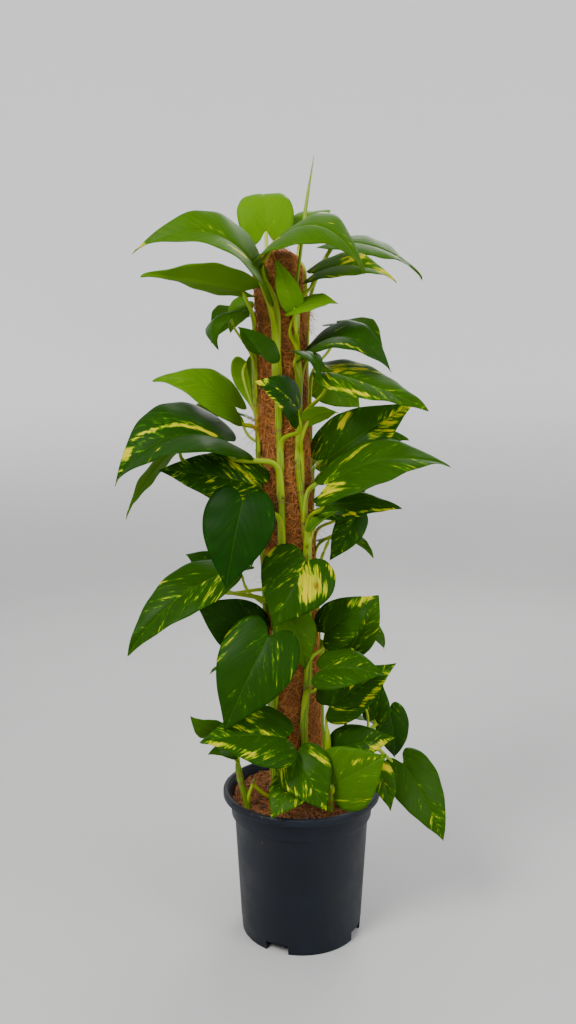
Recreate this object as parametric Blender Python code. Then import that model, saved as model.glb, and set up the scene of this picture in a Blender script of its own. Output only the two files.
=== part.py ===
"""A golden pothos climbing a coir pole, in the nursery pot that it grows in.

Lengths are in metres, except in the tables of stems and leaves, which are in centimetres. +Z is up,
-Y is the front and +X is the right. The origin is the middle of the pot's foot. Azimuths are in
degrees from the front, towards the right.
"""

from math import cos, pi, radians, sin, tan
from typing import NamedTuple

import bpy
import numpy as np

CM = 0.01

# Pot: the wall widens from the foot, steps out at a collar, and ends in a thick rim
FOOT_RADIUS = 0.0725
WAIST_RADIUS = 0.0810
COLLAR_RADIUS = 0.0850
NECK_RADIUS = 0.0862
RIM_RADIUS = 0.095
RIM_WIDTH = 0.0045
RIM_DEPTH = 0.0085
POT_HEIGHT = 0.1755
COLLAR_HEIGHT = 0.143
COLLAR_STEP = 0.002
ROUNDING = 0.0015
WALL = 0.0018
FLOOR = 0.0025
POT_SIDES = 32
SEAT_GAP = 0.0004

# Drainage pockets round the foot
POCKET_AZIMUTHS = (-24, 66, 156, 246)
POCKET_HEIGHT = 0.011
POCKET_WIDTH = 0.028
POCKET_INNER_RADIUS = 0.058
DRAIN_RADIUS = 0.005
DRAIN_SIDES = 12

# Soil
SOIL_LEVEL = 0.1635
SOIL_MOUND = 0.004
MOUND_RADIUS = 0.06
SOIL_SIDES = 30
HOLE_GAP = 0.0004
STEM_HOLE_RADIUS = 0.0056

# Pole: a round stake in a sleeve of coir, leaning a little to the left
POLE_FOOT = (-0.0012, 0.0)
POLE_LEAN = -0.0427
STAKE_RADIUS = 0.011
STAKE_BOTTOM = 0.02
STAKE_TOP = 0.795
SLEEVE_RADIUS = 0.027
SLEEVE_BOTTOM = 0.150
SLEEVE_TOP = 0.812
SLEEVE_DOME = 0.02
SLEEVE_LUMP = 0.0004
SLEEVE_SIDES = 20

# Stems
STEM_RADIUS = 0.0044
STEM_TIP_RADIUS = 0.0030
STEM_SIDES = 6
STEM_STEP = 0.06
STEM_BOTTOM = 0.135
PETIOLE_SIDES = 4
PETIOLE_RADIUS = 0.0019
PETIOLE_OUTLINE = ((0.0, 1.35), (0.26, 1.15), (0.52, 1.0), (0.78, 0.95), (1.0, 0.75))

# Blades. The vein bend makes a side vein leave the midrib at a slant and curve to the edge.
BLADE_THICKNESS = 0.0009
VEIN_BEND = 1.4
WAVE = 0.014
WAVES = 2.3
SMALL_BLADE = 0.075
STATIONS = (0.15, 0.32, 0.50, 0.68, 0.86)
SMALL_STATIONS = (0.2, 0.42, 0.64, 0.84)
ACROSS = (-1.0, -0.5, 0.0, 0.5, 1.0)

# One half of a blade: where a side vein leaves the midrib, then where it meets the edge, along
# and across, as shares of the blade's length and half width.
HALF_BLADE = (
    (0.00, 0.00, 0.00),
    (0.02, -0.11, 0.22),
    (0.05, -0.14, 0.52),
    (0.10, -0.02, 0.86),
    (0.18, 0.22, 1.00),
    (0.30, 0.46, 0.86),
    (0.47, 0.68, 0.55),
    (0.70, 0.87, 0.21),
    (1.00, 1.00, 0.00),
)


class Leaf(NamedTuple):
    """A leaf. Its node is a height on the stem; joint and tip are the blade's two ends. All in cm."""

    node: float
    joint: tuple
    tip: tuple
    facing: tuple  # azimuth and elevation that the upper side looks to, in degrees
    width: float = 0.74  # of the blade, as a share of its length
    arch: float = 0.14  # how far the midrib rises over the straight line, the same way
    fold: float = 8  # degrees that each half rises from the midrib
    sag: float = 0.18  # how far the edges fall, as a share of the half width
    twist: float = 0  # degrees that the blade turns about the midrib on its way to the tip


# Each climbing stem is a list of height in cm and azimuth round the pole.
CLIMBS = {
    "vine_front_left": ((14, -62), (26, -60), (36, -40), (46, -14), (60, -12), (72, -10)),
    "vine_front_right": ((14, 30), (26, 14), (34, 34), (48, 40), (56, 24), (66, 36), (76, 32)),
    "vine_left": ((14, -104), (30, -98), (44, -84), (60, -80), (71, -84)),
    "vine_back_left": ((14, -150), (34, -140), (52, -152), (76, -146)),
    "vine_back_right": ((14, 128), (30, 112), (50, 122), (78, 116)),
}

# The rolled new leaf at the top of a vine, as points in cm.
SPEARS = {
    "vine_front_right": ((-1.0, -2.8, 74.5), (-0.3, -3.1, 80.0), (0.3, -1.6, 85.0), (1.3, 0.2, 91.6)),
}
SPEAR_RADIUS = 0.0022
SPEAR_OUTLINE = ((0.0, 0.8), (0.3, 0.8), (0.5, 1.0), (0.7, 0.9), (0.85, 0.6), (1.0, 0.15))

# Each shoot at the foot of the plant is a list of points in cm.
SHOOTS = {
    "shoot_left": ((-6.0, -3.3, 13.5), (-6.5, -3.6, 17.0), (-7.2, -4.0, 20.0), (-7.6, -4.2, 22.5)),
    "shoot_right": ((6.2, -2.6, 13.5), (6.5, -2.6, 17.5), (7.4, -2.0, 21.0), (8.0, -1.4, 24.5)),
    "shoot_front": ((3.0, -5.0, 13.5), (3.2, -5.2, 17.5), (3.0, -4.8, 21.5), (2.6, -4.2, 26.0)),
}

LEAVES = {
    "vine_front_left": (
        Leaf(66, (-4.6, -5.6, 77.5), (-17.7, -10.0, 79.3), (-12, 42), 0.54, 0.29, 18),
        Leaf(69, (-3.3, -6.0, 80.9), (6.4, -9.0, 77.3), (10, 62), 0.78, 0.33, 4),
        Leaf(61, (-3.1, -6.8, 70.4), (-6.9, -9.5, 71.7), (-10, 68), 1.00, 0.06, -38),
        Leaf(56, (-0.6, -6.5, 63.1), (-5.2, -10.0, 66.0), (0, 52), 0.85, 0.16),
        Leaf(53, (-8.5, -5.0, 59.6), (-20.3, -9.0, 55.1), (-12, 52), 0.84, 0.25, 20),
        Leaf(47, (-6.5, -9.2, 53.3), (-8.3, -10.2, 43.9), (-5, 15), 0.82, 0.06),
        Leaf(36, (-9.4, -5.0, 44.6), (-19.3, -9.0, 36.2), (-20, 50), 0.50, 0.12, 14, 0.2, -14),
        Leaf(28, (-3.8, -8.0, 38.1), (-8.6, -10.0, 28.1), (-5, 18), 0.78, 0.08),
        Leaf(19, (-1.9, -7.6, 26.4), (-11.3, -10.6, 27.0), (-5, 45), 0.78, 0.12),
        Leaf(17.5, (-0.5, -7.2, 21.4), (-3.5, -10.3, 18.1), (-10, 50), 0.9, 0.1),
    ),
    "vine_front_right": (
        Leaf(72, (1.5, -3.2, 78.2), (10.3, -4.6, 77.0), (10, 50), 0.60, 0.16, 12),
        Leaf(65, (-0.8, -5.0, 74.1), (3.7, -8.0, 74.3), (20, 40), 0.80, 0.05, 14),
        Leaf(66, (-1.0, -5.4, 74.3), (-3.0, -6.4, 79.2), (0, 5), 0.50, 0.05),
        Leaf(61, (1.0, -2.8, 70.0), (9.7, -6.0, 67.1), (15, 45), 0.70, 0.30, 14),
        Leaf(63, (-0.4, -6.2, 69.4), (1.7, -8.6, 66.2), (40, 45), 0.70, 0.22),
        Leaf(57, (3.2, -5.4, 67.2), (13.4, -9.0, 63.0), (10, 50), 0.54, 0.03),
        Leaf(54, (0.6, -4.5, 62.0), (3.9, -7.0, 62.7), (160, 60), 0.70),
        Leaf(50, (3.0, -1.2, 57.4), (12.6, -2.6, 63.8), (-5, 20), 0.64, 0.08),
        Leaf(46, (3.0, -7.0, 55.2), (15.8, -9.0, 57.1), (0, 60), 0.62, 0.16),
        Leaf(44, (2.3, -3.0, 52.2), (11.2, -5.0, 52.1), (0, 40), 0.46, 0.06),
        Leaf(45, (1.0, -4.5, 49.5), (3.9, -5.0, 51.8), (0, 60), 0.36, 0.05, 50),
        Leaf(40.5, (0.3, -6.0, 46.2), (-3.3, -8.0, 39.2), (5, 22), 1.05, 0.08),
        Leaf(31, (-1.4, -4.6, 39.4), (0.3, -5.2, 33.6), (20, 20), 0.85),
        Leaf(31, (2.7, -2.8, 37.3), (8.5, -5.6, 42.3), (-5, 26), 0.66, 0.08),
        Leaf(26, (2.2, -8.0, 34.4), (9.0, -10.2, 34.4), (5, 50), 0.80, 0.10),
        Leaf(18, (-0.6, -7.2, 24.0), (2.6, -9.8, 18.8), (0, 30), 0.95, 0.10),
    ),
    "vine_left": (
        Leaf(66, (-6.5, -3.0, 76.2), (-17.9, -4.0, 77.8), (-160, 65), 0.50, 0.02, 24),
        Leaf(64, (-8.2, -3.8, 73.8), (-9.2, -6.0, 69.5), (-55, 35), 0.95, 0.34, -10),
        Leaf(65, (-6.6, 1.0, 75.4), (-8.4, 2.0, 72.0), (-20, 30), 0.80),
        Leaf(58, (-7.6, -3.0, 63.4), (-16.8, -4.0, 66.3), (-25, 42), 0.58, 0.20, 8),
        Leaf(54, (-6.6, 3.0, 68.7), (-5.9, 4.0, 62.9), (175, 10), 0.70),
        Leaf(49, (-14.4, -1.0, 59.0), (-20.3, -3.0, 50.6), (-100, 20), 0.50, 0.06),
        Leaf(46, (-5.1, -4.0, 54.6), (-15.8, -7.0, 56.5), (-5, 32), 0.64, 0.06),
        Leaf(31, (-5.4, -2.6, 36.9), (-12.4, -3.6, 41.0), (-10, 25), 0.80, 0.08),
    ),
    "vine_back_left": (
        Leaf(73, (-4.2, 3.6, 84.2), (-4.6, 9.0, 88.8), (0, 50), 0.95, 0.30, 5),
        Leaf(64, (-6.0, 5.5, 74.5), (-11.5, 11.5, 71.5), (-150, 45), 0.72, 0.22, 12),
        Leaf(60, (-2.0, 9.0, 66.5), (-0.5, 12.5, 61.5), (175, 30), 0.80),
        Leaf(53, (-7.5, 6.5, 62.5), (-15.5, 10.5, 59.5), (-140, 50), 0.66, 0.20, 14),
        Leaf(43, (-4.5, 7.5, 51.5), (-6.5, 12.0, 42.5), (-165, 18), 0.78, 0.12),
        Leaf(37, (-10.0, 1.6, 43.8), (-13.9, 1.0, 45.9), (0, 30), 0.80),
        Leaf(33, (-7.5, 5.5, 43.0), (-12.5, 10.0, 38.5), (-130, 40), 0.60, 0.10, 18),
        Leaf(30, (-1.5, 8.0, 37.5), (0.5, 12.5, 30.5), (170, 30), 0.84, 0.10),
        Leaf(23, (-6.5, 6.0, 30.0), (-12.0, 10.0, 28.5), (-135, 60), 0.74, 0.14),
        Leaf(17.5, (-3.5, 8.6, 24.5), (-6.0, 13.0, 19.5), (-165, 40), 0.80),
    ),
    "vine_back_right": (
        Leaf(74, (0.0, 5.5, 84.5), (3.4, 11.5, 87.0), (150, 55), 0.80, 0.20),
        Leaf(69, (3.6, 2.0, 82.4), (14.3, 3.0, 78.4), (20, 60), 0.56, 0.12),
        Leaf(61, (4.5, 6.0, 73.5), (10.5, 11.0, 70.5), (140, 45), 0.66, 0.20, 14),
        Leaf(58, (2.2, 6.5, 67.0), (7.4, 8.0, 63.3), (10, 20), 0.86),
        Leaf(52, (3.0, 7.5, 58.5), (6.5, 12.5, 51.0), (155, 25), 0.76, 0.10),
        Leaf(50, (5.6, 2.0, 59.6), (12.9, 2.4, 59.5), (10, 30), 0.50),
        Leaf(45, (4.8, 1.6, 52.5), (8.7, 1.8, 54.8), (0, 40), 0.70),
        Leaf(43, (6.3, -1.4, 50.8), (3.2, -1.8, 45.6), (10, 20), 0.60),
        Leaf(39, (3.5, 6.5, 47.0), (9.5, 10.0, 44.0), (140, 50), 0.62, 0.16, 12),
        Leaf(30, (6.0, -1.0, 35.2), (9.2, 0.0, 41.2), (10, 20), 0.60),
        Leaf(32, (8.2, 1.0, 37.2), (10.1, 2.0, 34.0), (40, 30), 0.60),
        Leaf(24, (3.0, 8.0, 33.5), (4.5, 13.0, 26.0), (165, 22), 0.80, 0.08),
        Leaf(17.5, (6.0, 5.5, 24.5), (11.5, 9.0, 20.5), (125, 45), 0.72, 0.10),
    ),
    "shoot_left": (
        Leaf(21, (-10.1, -4.0, 25.9), (-12.9, -5.0, 28.0), (-60, 30), 0.90),
        Leaf(20, (-8.0, -5.0, 23.7), (-10.8, -6.2, 23.9), (-30, 60), 0.90),
    ),
    "shoot_right": (
        Leaf(22, (12.3, -1.0, 20.7), (16.8, -4.0, 12.4), (20, 25), 0.66, 0.08),
        Leaf(20, (8.8, -5.0, 22.0), (10.1, -7.0, 17.5), (10, 30), 0.60),
        Leaf(23, (8.8, -0.6, 26.2), (9.8, 0.4, 30.2), (-10, 15), 0.80),
        Leaf(22.5, (10.8, 1.5, 26.3), (11.6, 2.3, 20.2), (10, 10), 0.70),
        Leaf(24, (6.2, -1.6, 31.4), (7.7, -2.6, 33.8), (0, 30), 0.90),
    ),
    "shoot_front": (
        Leaf(22, (3.2, -5.0, 29.3), (10.5, -7.2, 34.9), (0, 25), 0.60, 0.08),
        Leaf(19, (3.9, -4.6, 23.9), (10.5, -7.2, 26.3), (0, 35), 0.66, 0.10),
        Leaf(18, (3.6, -7.4, 20.8), (9.3, -9.0, 25.0), (0, 20), 1.05, 0.08),
    ),
}


def unit(vector):
    return vector / np.linalg.norm(vector)


def compass(azimuth, elevation):
    """The direction at an azimuth from the front and an elevation, in degrees."""
    a, e = radians(azimuth), radians(elevation)
    return np.array((sin(a) * cos(e), -cos(a) * cos(e), sin(e)))


def smooth_path(points, share):
    """The point at a share of the way along a smooth curve through all the points."""
    points = np.asarray(points, float)
    spans = len(points) - 1
    place = min(max(share, 0.0), 1.0) * spans
    i = min(int(place), spans - 1)
    t = place - i
    before = points[i - 1] if i else 2 * points[0] - points[1]
    after = points[i + 2] if i + 2 <= spans else 2 * points[-1] - points[-2]
    a, b = points[i], points[i + 1]
    return (
        a
        + 0.5 * t * (b - before)
        + 0.5 * t * t * (2 * before - 5 * a + 4 * b - after)
        + 0.5 * t**3 * (3 * (a - b) + after - before)
    )


def pole_axis(height):
    x, y = POLE_FOOT
    return np.array((x + POLE_LEAN * (height - SOIL_LEVEL), y, height))


def climb_point(climb, height):
    """The stem's axis at a height: it hugs the sleeve at the azimuth that the climb gives."""
    heights, azimuths = zip(*climb)
    azimuth = np.interp(height / CM, heights, azimuths)
    reach = SLEEVE_RADIUS + STEM_RADIUS + SEAT_GAP
    return pole_axis(height) + reach * compass(azimuth, 0)


def stem_points(name):
    """The stem's axis from the soil up, as an array."""
    if name in SHOOTS:
        return np.array([smooth_path(SHOOTS[name], i / 6) for i in range(7)]) * CM
    climb = CLIMBS[name]
    top = climb[-1][0] * CM
    steps = round((top - STEM_BOTTOM) / STEM_STEP)
    heights = np.linspace(STEM_BOTTOM, top, steps + 1)
    return np.array([climb_point(climb, h) for h in heights])


def stem_at(points, height):
    return np.array([np.interp(height, points[:, 2], points[:, k]) for k in range(3)])


def blade_frame(leaf):
    """The blade's joint, length and its three directions: along, to its left, and up from it."""
    joint, tip = np.array(leaf.joint) * CM, np.array(leaf.tip) * CM
    along = unit(tip - joint)
    facing = compass(*leaf.facing)
    up = unit(facing - along * (facing @ along))
    return joint, np.linalg.norm(tip - joint), along, np.cross(up, along), up


def blade_point(leaf, frame, station, across):
    """A point of the blade's middle surface. across runs from -1 to 1 along the side veins."""
    joint, length, along, left, up = frame
    vein, edge_x, edge_y = smooth_path(HALF_BLADE, station)
    side = abs(across)
    x = vein + (edge_x - vein) * side**VEIN_BEND
    half = leaf.width / 2
    y = edge_y * half * across
    rise = tan(radians(leaf.fold)) * abs(y) - leaf.sag * half * (y / half) ** 2
    phase = 0.31 * leaf.node + 0.5 * (across > 0)
    rise += WAVE * side**2 * sin(2 * pi * (WAVES * station + phase))
    turn = radians(leaf.twist) * x
    y, rise = y * cos(turn) - rise * sin(turn), y * sin(turn) + rise * cos(turn)
    rise += leaf.arch * 4 * x * (1 - x)
    return joint + length * (along * x + left * y + up * rise)


def mesh_object(name, points, faces):
    mesh = bpy.data.meshes.new(name)
    mesh.from_pydata([tuple(map(float, p)) for p in points], [], faces)
    mesh.update()
    obj = bpy.data.objects.new(name, mesh)
    bpy.context.scene.collection.objects.link(obj)
    return obj


def grid_triangles(rows, columns):
    """Triangles over rows of points, between one point before the rows and one after them."""
    first, last = 0, rows * columns + 1
    triangles = []
    for c in range(1, columns):
        triangles.append((first, c + 1, c))
        triangles.append((last - columns + c - 1, last - columns + c, last))
    for r in range(rows - 1):
        for c in range(1, columns):
            a = r * columns + c
            b, d, e = a + 1, a + columns, a + columns + 1
            if c <= columns // 2:
                triangles += [(a, b, d), (b, e, d)]
            else:
                triangles += [(a, b, e), (a, e, d)]
    return triangles


def point_normals(points, triangles):
    normals = np.zeros_like(points)
    for a, b, c in triangles:
        normal = np.cross(points[b] - points[a], points[c] - points[a])
        for corner in (a, b, c):
            normals[corner] += normal
    return normals / np.linalg.norm(normals, axis=1)[:, None]


def blade(leaf):
    """A closed blade: its middle surface, thickened by the same amount both ways."""
    frame = blade_frame(leaf)
    stations = SMALL_STATIONS if frame[1] < SMALL_BLADE else STATIONS
    grid = [blade_point(leaf, frame, 0.0, 0.0)]
    grid += [blade_point(leaf, frame, s, v) for s in stations for v in ACROSS]
    grid.append(blade_point(leaf, frame, 1.0, 0.0))
    grid = np.array(grid)
    rows, columns = len(stations), len(ACROSS)
    triangles = grid_triangles(rows, columns)
    normals = point_normals(grid, triangles)
    offset = normals * BLADE_THICKNESS / 2
    count = len(grid)
    points = np.concatenate([grid + offset, grid - offset])
    faces = list(triangles)
    faces += [(c + count, b + count, a + count) for a, b, c in triangles]
    edge = [0]
    edge += [r * columns + columns for r in range(rows)]
    edge.append(count - 1)
    edge += [r * columns + 1 for r in range(rows - 1, -1, -1)]
    for a, b in zip(edge, edge[1:] + edge[:1]):
        faces += [(b, a, a + count), (b, a + count, b + count)]
    return mesh_object("blade", points, faces)


def tube(name, points, radii, sides):
    """A closed tube with flat ends round a line of points."""
    points = np.asarray(points, float)
    tangents = np.gradient(points, axis=0)
    across = unit(np.cross(tangents[0], (0.31, 0.95, 0.02)))
    ring_points = []
    for point, tangent, radius in zip(points, tangents, radii):
        tangent = unit(tangent)
        across = unit(across - tangent * (across @ tangent))
        other = np.cross(tangent, across)
        for k in range(sides):
            a = 2 * pi * k / sides
            ring_points.append(point + radius * (across * cos(a) + other * sin(a)))
    faces = [tuple(reversed(range(sides)))]
    for r in range(len(points) - 1):
        for k in range(sides):
            a, b = r * sides + k, r * sides + (k + 1) % sides
            faces.append((a, b, b + sides, a + sides))
    last = (len(points) - 1) * sides
    faces.append(tuple(range(last, last + sides)))
    return mesh_object(name, ring_points, faces)


def petiole_path(leaf, stem):
    """From inside the stem, up beside it, and over into the blade's underside."""
    joint, length, along, _, _ = blade_frame(leaf)
    start = stem_at(stem, leaf.node * CM)
    reach = np.linalg.norm(joint - start)
    rise = start + np.array((0, 0, 0.34 * reach)) + 0.12 * (joint - start)
    bend = joint - np.array((0, 0, 0.22 * reach)) - 0.10 * reach * along
    return [start, rise, bend, joint + along * 0.012 * length]


def petiole(leaf, stem):
    path = petiole_path(leaf, stem)
    points = [smooth_path(path, share) for share, _ in PETIOLE_OUTLINE]
    radii = [PETIOLE_RADIUS * r for _, r in PETIOLE_OUTLINE]
    return tube("petiole", points, radii, PETIOLE_SIDES)


def spear(route):
    """A leaf still rolled up: slim, thickest half way up, and drawn out to a point."""
    points = [smooth_path(route, share) * CM for share, _ in SPEAR_OUTLINE]
    radii = [SPEAR_RADIUS * r for _, r in SPEAR_OUTLINE]
    return tube("spear", points, radii, PETIOLE_SIDES)


def fuse(target, pieces):
    """Joins the pieces into the target with one Boolean union, and removes them.

    The EXACT solver leaves open edges where thin blades and slim petioles cross, so this union is
    MANIFOLD.
    """
    group = bpy.data.collections.new("pieces")
    bpy.context.scene.collection.children.link(group)
    for piece in pieces:
        bpy.context.scene.collection.objects.unlink(piece)
        group.objects.link(piece)
    modifier = target.modifiers.new("join", "BOOLEAN")
    modifier.operation = "UNION"
    modifier.operand_type = "COLLECTION"
    modifier.collection = group
    modifier.solver = "MANIFOLD"
    apply_modifiers(target)
    for piece in pieces:
        bpy.data.objects.remove(piece)
    bpy.data.collections.remove(group)


def apply_modifiers(obj):
    graph = bpy.context.evaluated_depsgraph_get()
    made = bpy.data.meshes.new_from_object(obj.evaluated_get(graph))
    obj.modifiers.clear()
    obj.data = made


def cut(target, cutter):
    """Cuts one object out of another, and removes the cutter."""
    modifier = target.modifiers.new("cut", "BOOLEAN")
    modifier.operation = "DIFFERENCE"
    modifier.object = cutter
    modifier.solver = "EXACT"
    apply_modifiers(target)
    bpy.data.objects.remove(cutter)


def turned(name, profile, sides, axis=None):
    """A closed turned solid with flat ends. profile holds radius and height, from the bottom up."""
    points, faces = [], []
    for radius, height in profile:
        middle = axis(height) if axis else np.array((0, 0, height))
        for k in range(sides):
            points.append(middle + radius * compass(360 * k / sides, 0))
    for r in range(len(profile) - 1):
        for k in range(sides):
            a, b = r * sides + k, r * sides + (k + 1) % sides
            faces.append((a, b, b + sides, a + sides))
    last = (len(profile) - 1) * sides
    faces.append(tuple(reversed(range(sides))))
    faces.append(tuple(range(last, last + sides)))
    return mesh_object(name, points, faces)


def box(name, azimuth, near, far, width, bottom, top):
    """A box that lies along an azimuth, from one distance off the axis to another."""
    ahead, side = compass(azimuth, 0), compass(azimuth + 90, 0)
    points = []
    for height in (bottom, top):
        for distance, way in ((near, -1), (far, -1), (far, 1), (near, 1)):
            points.append(ahead * distance + side * way * width / 2 + np.array((0, 0, height)))
    faces = [(3, 2, 1, 0), (4, 5, 6, 7), (0, 1, 5, 4), (1, 2, 6, 5), (2, 3, 7, 6), (3, 0, 4, 7)]
    return mesh_object(name, points, faces)


def pocket_box(azimuth, grown):
    """The room of one drainage pocket, made larger on its inner sides."""
    near, width = POCKET_INNER_RADIUS - grown, POCKET_WIDTH + 2 * grown
    return box("pocket", azimuth, near, RIM_RADIUS, width, -FLOOR, POCKET_HEIGHT + grown)


# Both profiles of the pot's wall are radius and height, from the foot up.
POT_OUTSIDE = (
    (FOOT_RADIUS - 2 * ROUNDING, 0.0),
    (FOOT_RADIUS, 2 * ROUNDING),
    (WAIST_RADIUS, COLLAR_HEIGHT),
    (COLLAR_RADIUS, COLLAR_HEIGHT + COLLAR_STEP),
    (NECK_RADIUS, POT_HEIGHT - RIM_DEPTH - COLLAR_STEP / 4),
    (RIM_RADIUS - ROUNDING, POT_HEIGHT - RIM_DEPTH),
    (RIM_RADIUS, POT_HEIGHT - RIM_DEPTH + ROUNDING),
    (RIM_RADIUS, POT_HEIGHT - ROUNDING),
    (RIM_RADIUS - ROUNDING, POT_HEIGHT),
    (RIM_RADIUS - RIM_WIDTH, POT_HEIGHT),
)
POT_INSIDE = (
    (FOOT_RADIUS - WALL - 2 * ROUNDING, FLOOR),
    (FOOT_RADIUS - WALL, FLOOR + 2 * ROUNDING),
    (WAIST_RADIUS - WALL, COLLAR_HEIGHT),
    (COLLAR_RADIUS - WALL, COLLAR_HEIGHT + COLLAR_STEP),
    (NECK_RADIUS - WALL, POT_HEIGHT - RIM_DEPTH),
    (RIM_RADIUS - RIM_WIDTH - WALL, POT_HEIGHT - COLLAR_STEP),
    (RIM_RADIUS - RIM_WIDTH, POT_HEIGHT + 0.0001),
)


def pot_cavity(name, inset):
    """The room inside the pot, with its walls moved in by the inset."""
    profile = [(r - inset, h) for r, h in POT_INSIDE]
    profile[0] = (profile[0][0], FLOOR + inset)
    return turned(name, profile, POT_SIDES)


def make_pot():
    pot = turned("pot", POT_OUTSIDE, POT_SIDES)
    room = pot_cavity("room", 0.0)
    for azimuth in POCKET_AZIMUTHS:
        cut(room, pocket_box(azimuth, WALL))
    cut(pot, room)
    for azimuth in POCKET_AZIMUTHS:
        cut(pot, pocket_box(azimuth, 0.0))
    for azimuth in POCKET_AZIMUTHS:
        middle = compass(azimuth, 0) * (POCKET_INNER_RADIUS + DRAIN_RADIUS)
        heights = (POCKET_HEIGHT - 2 * WALL, POCKET_HEIGHT + 2 * WALL)
        ends = [middle + np.array((0, 0, h)) for h in heights]
        cut(pot, tube("drain", ends, (DRAIN_RADIUS,) * 2, DRAIN_SIDES))
    return pot


def make_soil(stems):
    """The filling: it follows the pot's inside, and is bored where the stake and the stems stand."""
    soil = pot_cavity("soil", SEAT_GAP)
    for azimuth in POCKET_AZIMUTHS:
        cut(soil, pocket_box(azimuth, WALL + SEAT_GAP))
    cut(soil, soil_lid())
    cut(soil, pole_hole("sleeve_hole", SLEEVE_RADIUS + HOLE_GAP, SLEEVE_BOTTOM - HOLE_GAP))
    cut(soil, pole_hole("stake_hole", STAKE_RADIUS + HOLE_GAP, STAKE_BOTTOM - HOLE_GAP))
    for points in stems.values():
        cut(soil, stem_hole(points))
    return soil


def soil_lid():
    """Everything above the soil's surface, which rises a little towards the pole."""
    mound, wide, top = SOIL_LEVEL + SOIL_MOUND, 1.2 * RIM_RADIUS, 1.2 * POT_HEIGHT
    profile = (
        (MOUND_RADIUS / 3, mound),
        (MOUND_RADIUS, mound - SOIL_MOUND / 3),
        (wide, SOIL_LEVEL),
        (wide, top),
        (MOUND_RADIUS / 3, top),
    )
    return turned("lid", profile, SOIL_SIDES)


def pole_hole(name, radius, bottom):
    return turned(name, ((radius, bottom), (radius, 1.1 * POT_HEIGHT)), SLEEVE_SIDES, pole_axis)


def stem_hole(points):
    """A hole that follows the foot of a stem, a little wider and deeper than the stem."""
    way = unit(points[1] - points[0])
    route = [points[0] - way * 2 * HOLE_GAP]
    route += [smooth_path(points[:3], share) for share in (0.25, 0.5, 0.75, 1.0)]
    return tube("stem_hole", route, (STEM_HOLE_RADIUS,) * len(route), STEM_SIDES + 2)


def make_stake():
    profile = (
        (STAKE_RADIUS * 0.4, STAKE_BOTTOM),
        (STAKE_RADIUS, STAKE_BOTTOM + 0.015),
        (STAKE_RADIUS, STAKE_TOP),
    )
    return turned("pole_stake", profile, SLEEVE_SIDES, pole_axis)


def make_sleeve():
    """The coir wrap: a little lumpy, with a domed top and a bore for the stake."""
    shoulder = SLEEVE_TOP - SLEEVE_DOME
    profile = []
    for i, height in enumerate(np.linspace(SLEEVE_BOTTOM, shoulder, 7)):
        profile.append((SLEEVE_RADIUS - SLEEVE_LUMP * (1 - sin(2.1 * i)), height))
    for angle in (30, 55, 75):
        a = radians(angle)
        profile.append((SLEEVE_RADIUS * cos(a), shoulder + SLEEVE_DOME * sin(a)))
    sleeve = turned("pole_coir", profile, SLEEVE_SIDES, pole_axis)
    radius = STAKE_RADIUS + SEAT_GAP
    bore = ((radius, SLEEVE_BOTTOM - WALL), (radius, STAKE_TOP + SEAT_GAP))
    cut(sleeve, turned("bore", bore, SLEEVE_SIDES, pole_axis))
    return sleeve


def make_vine(name, points):
    """A stem with its petioles and leaves, grown as one piece."""
    radii = np.linspace(STEM_RADIUS, STEM_TIP_RADIUS, len(points))
    vine = tube(name, points, radii, STEM_SIDES)
    pieces = []
    for leaf in LEAVES[name]:
        pieces.append(petiole(leaf, points))
        pieces.append(blade(leaf))
    if name in SPEARS:
        pieces.append(spear(SPEARS[name]))
    fuse(vine, pieces)
    return vine


def material(name, colour, roughness, metallic=0.0):
    made = bpy.data.materials.new(name)
    made.use_nodes = True
    shader = made.node_tree.nodes["Principled BSDF"]
    shader.inputs["Base Color"].default_value = (*colour, 1)
    shader.inputs["Roughness"].default_value = roughness
    shader.inputs["Metallic"].default_value = metallic
    made.diffuse_color = (*colour, 1)
    return made


def finish(obj, made, sharp_degrees=40):
    obj.data.materials.clear()
    obj.data.materials.append(made)
    obj.data.shade_smooth()
    obj.data.set_sharp_from_angle(angle=radians(sharp_degrees))


def main():
    for obj in list(bpy.data.objects):
        bpy.data.objects.remove(obj)
    stems = {name: stem_points(name) for name in (*CLIMBS, *SHOOTS)}
    finish(make_pot(), material("pot_plastic", (0.022, 0.028, 0.036), 0.45))
    finish(make_soil(stems), material("soil", (0.12, 0.042, 0.016), 0.95))
    finish(make_stake(), material("stake_wood", (0.42, 0.28, 0.15), 0.7))
    finish(make_sleeve(), material("coir", (0.30, 0.13, 0.045), 0.95))
    for i, (name, points) in enumerate(stems.items()):
        green = material(f"{name}_green", (0.035 + 0.006 * i, 0.19, 0.02), 0.4)
        finish(make_vine(name, points), green)


if __name__ == "__main__":
    main()
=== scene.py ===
"""The looks of a golden pothos on a coir pole: fine leaves, stems, fibres, soil and pot.

Lengths are in metres, except in the tables of stems and leaves, which are in centimetres. +Z is up,
-Y is the front and +X is the right. Azimuths run from the front towards the right. They are in
degrees in constants and tables, and in radians in arrays. The layout of stems and leaves repeats
that of the solids.
"""

from math import cos, pi, radians, sin, tan
from typing import NamedTuple

import bpy
import numpy as np
from mathutils import Matrix, Vector, noise


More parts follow.
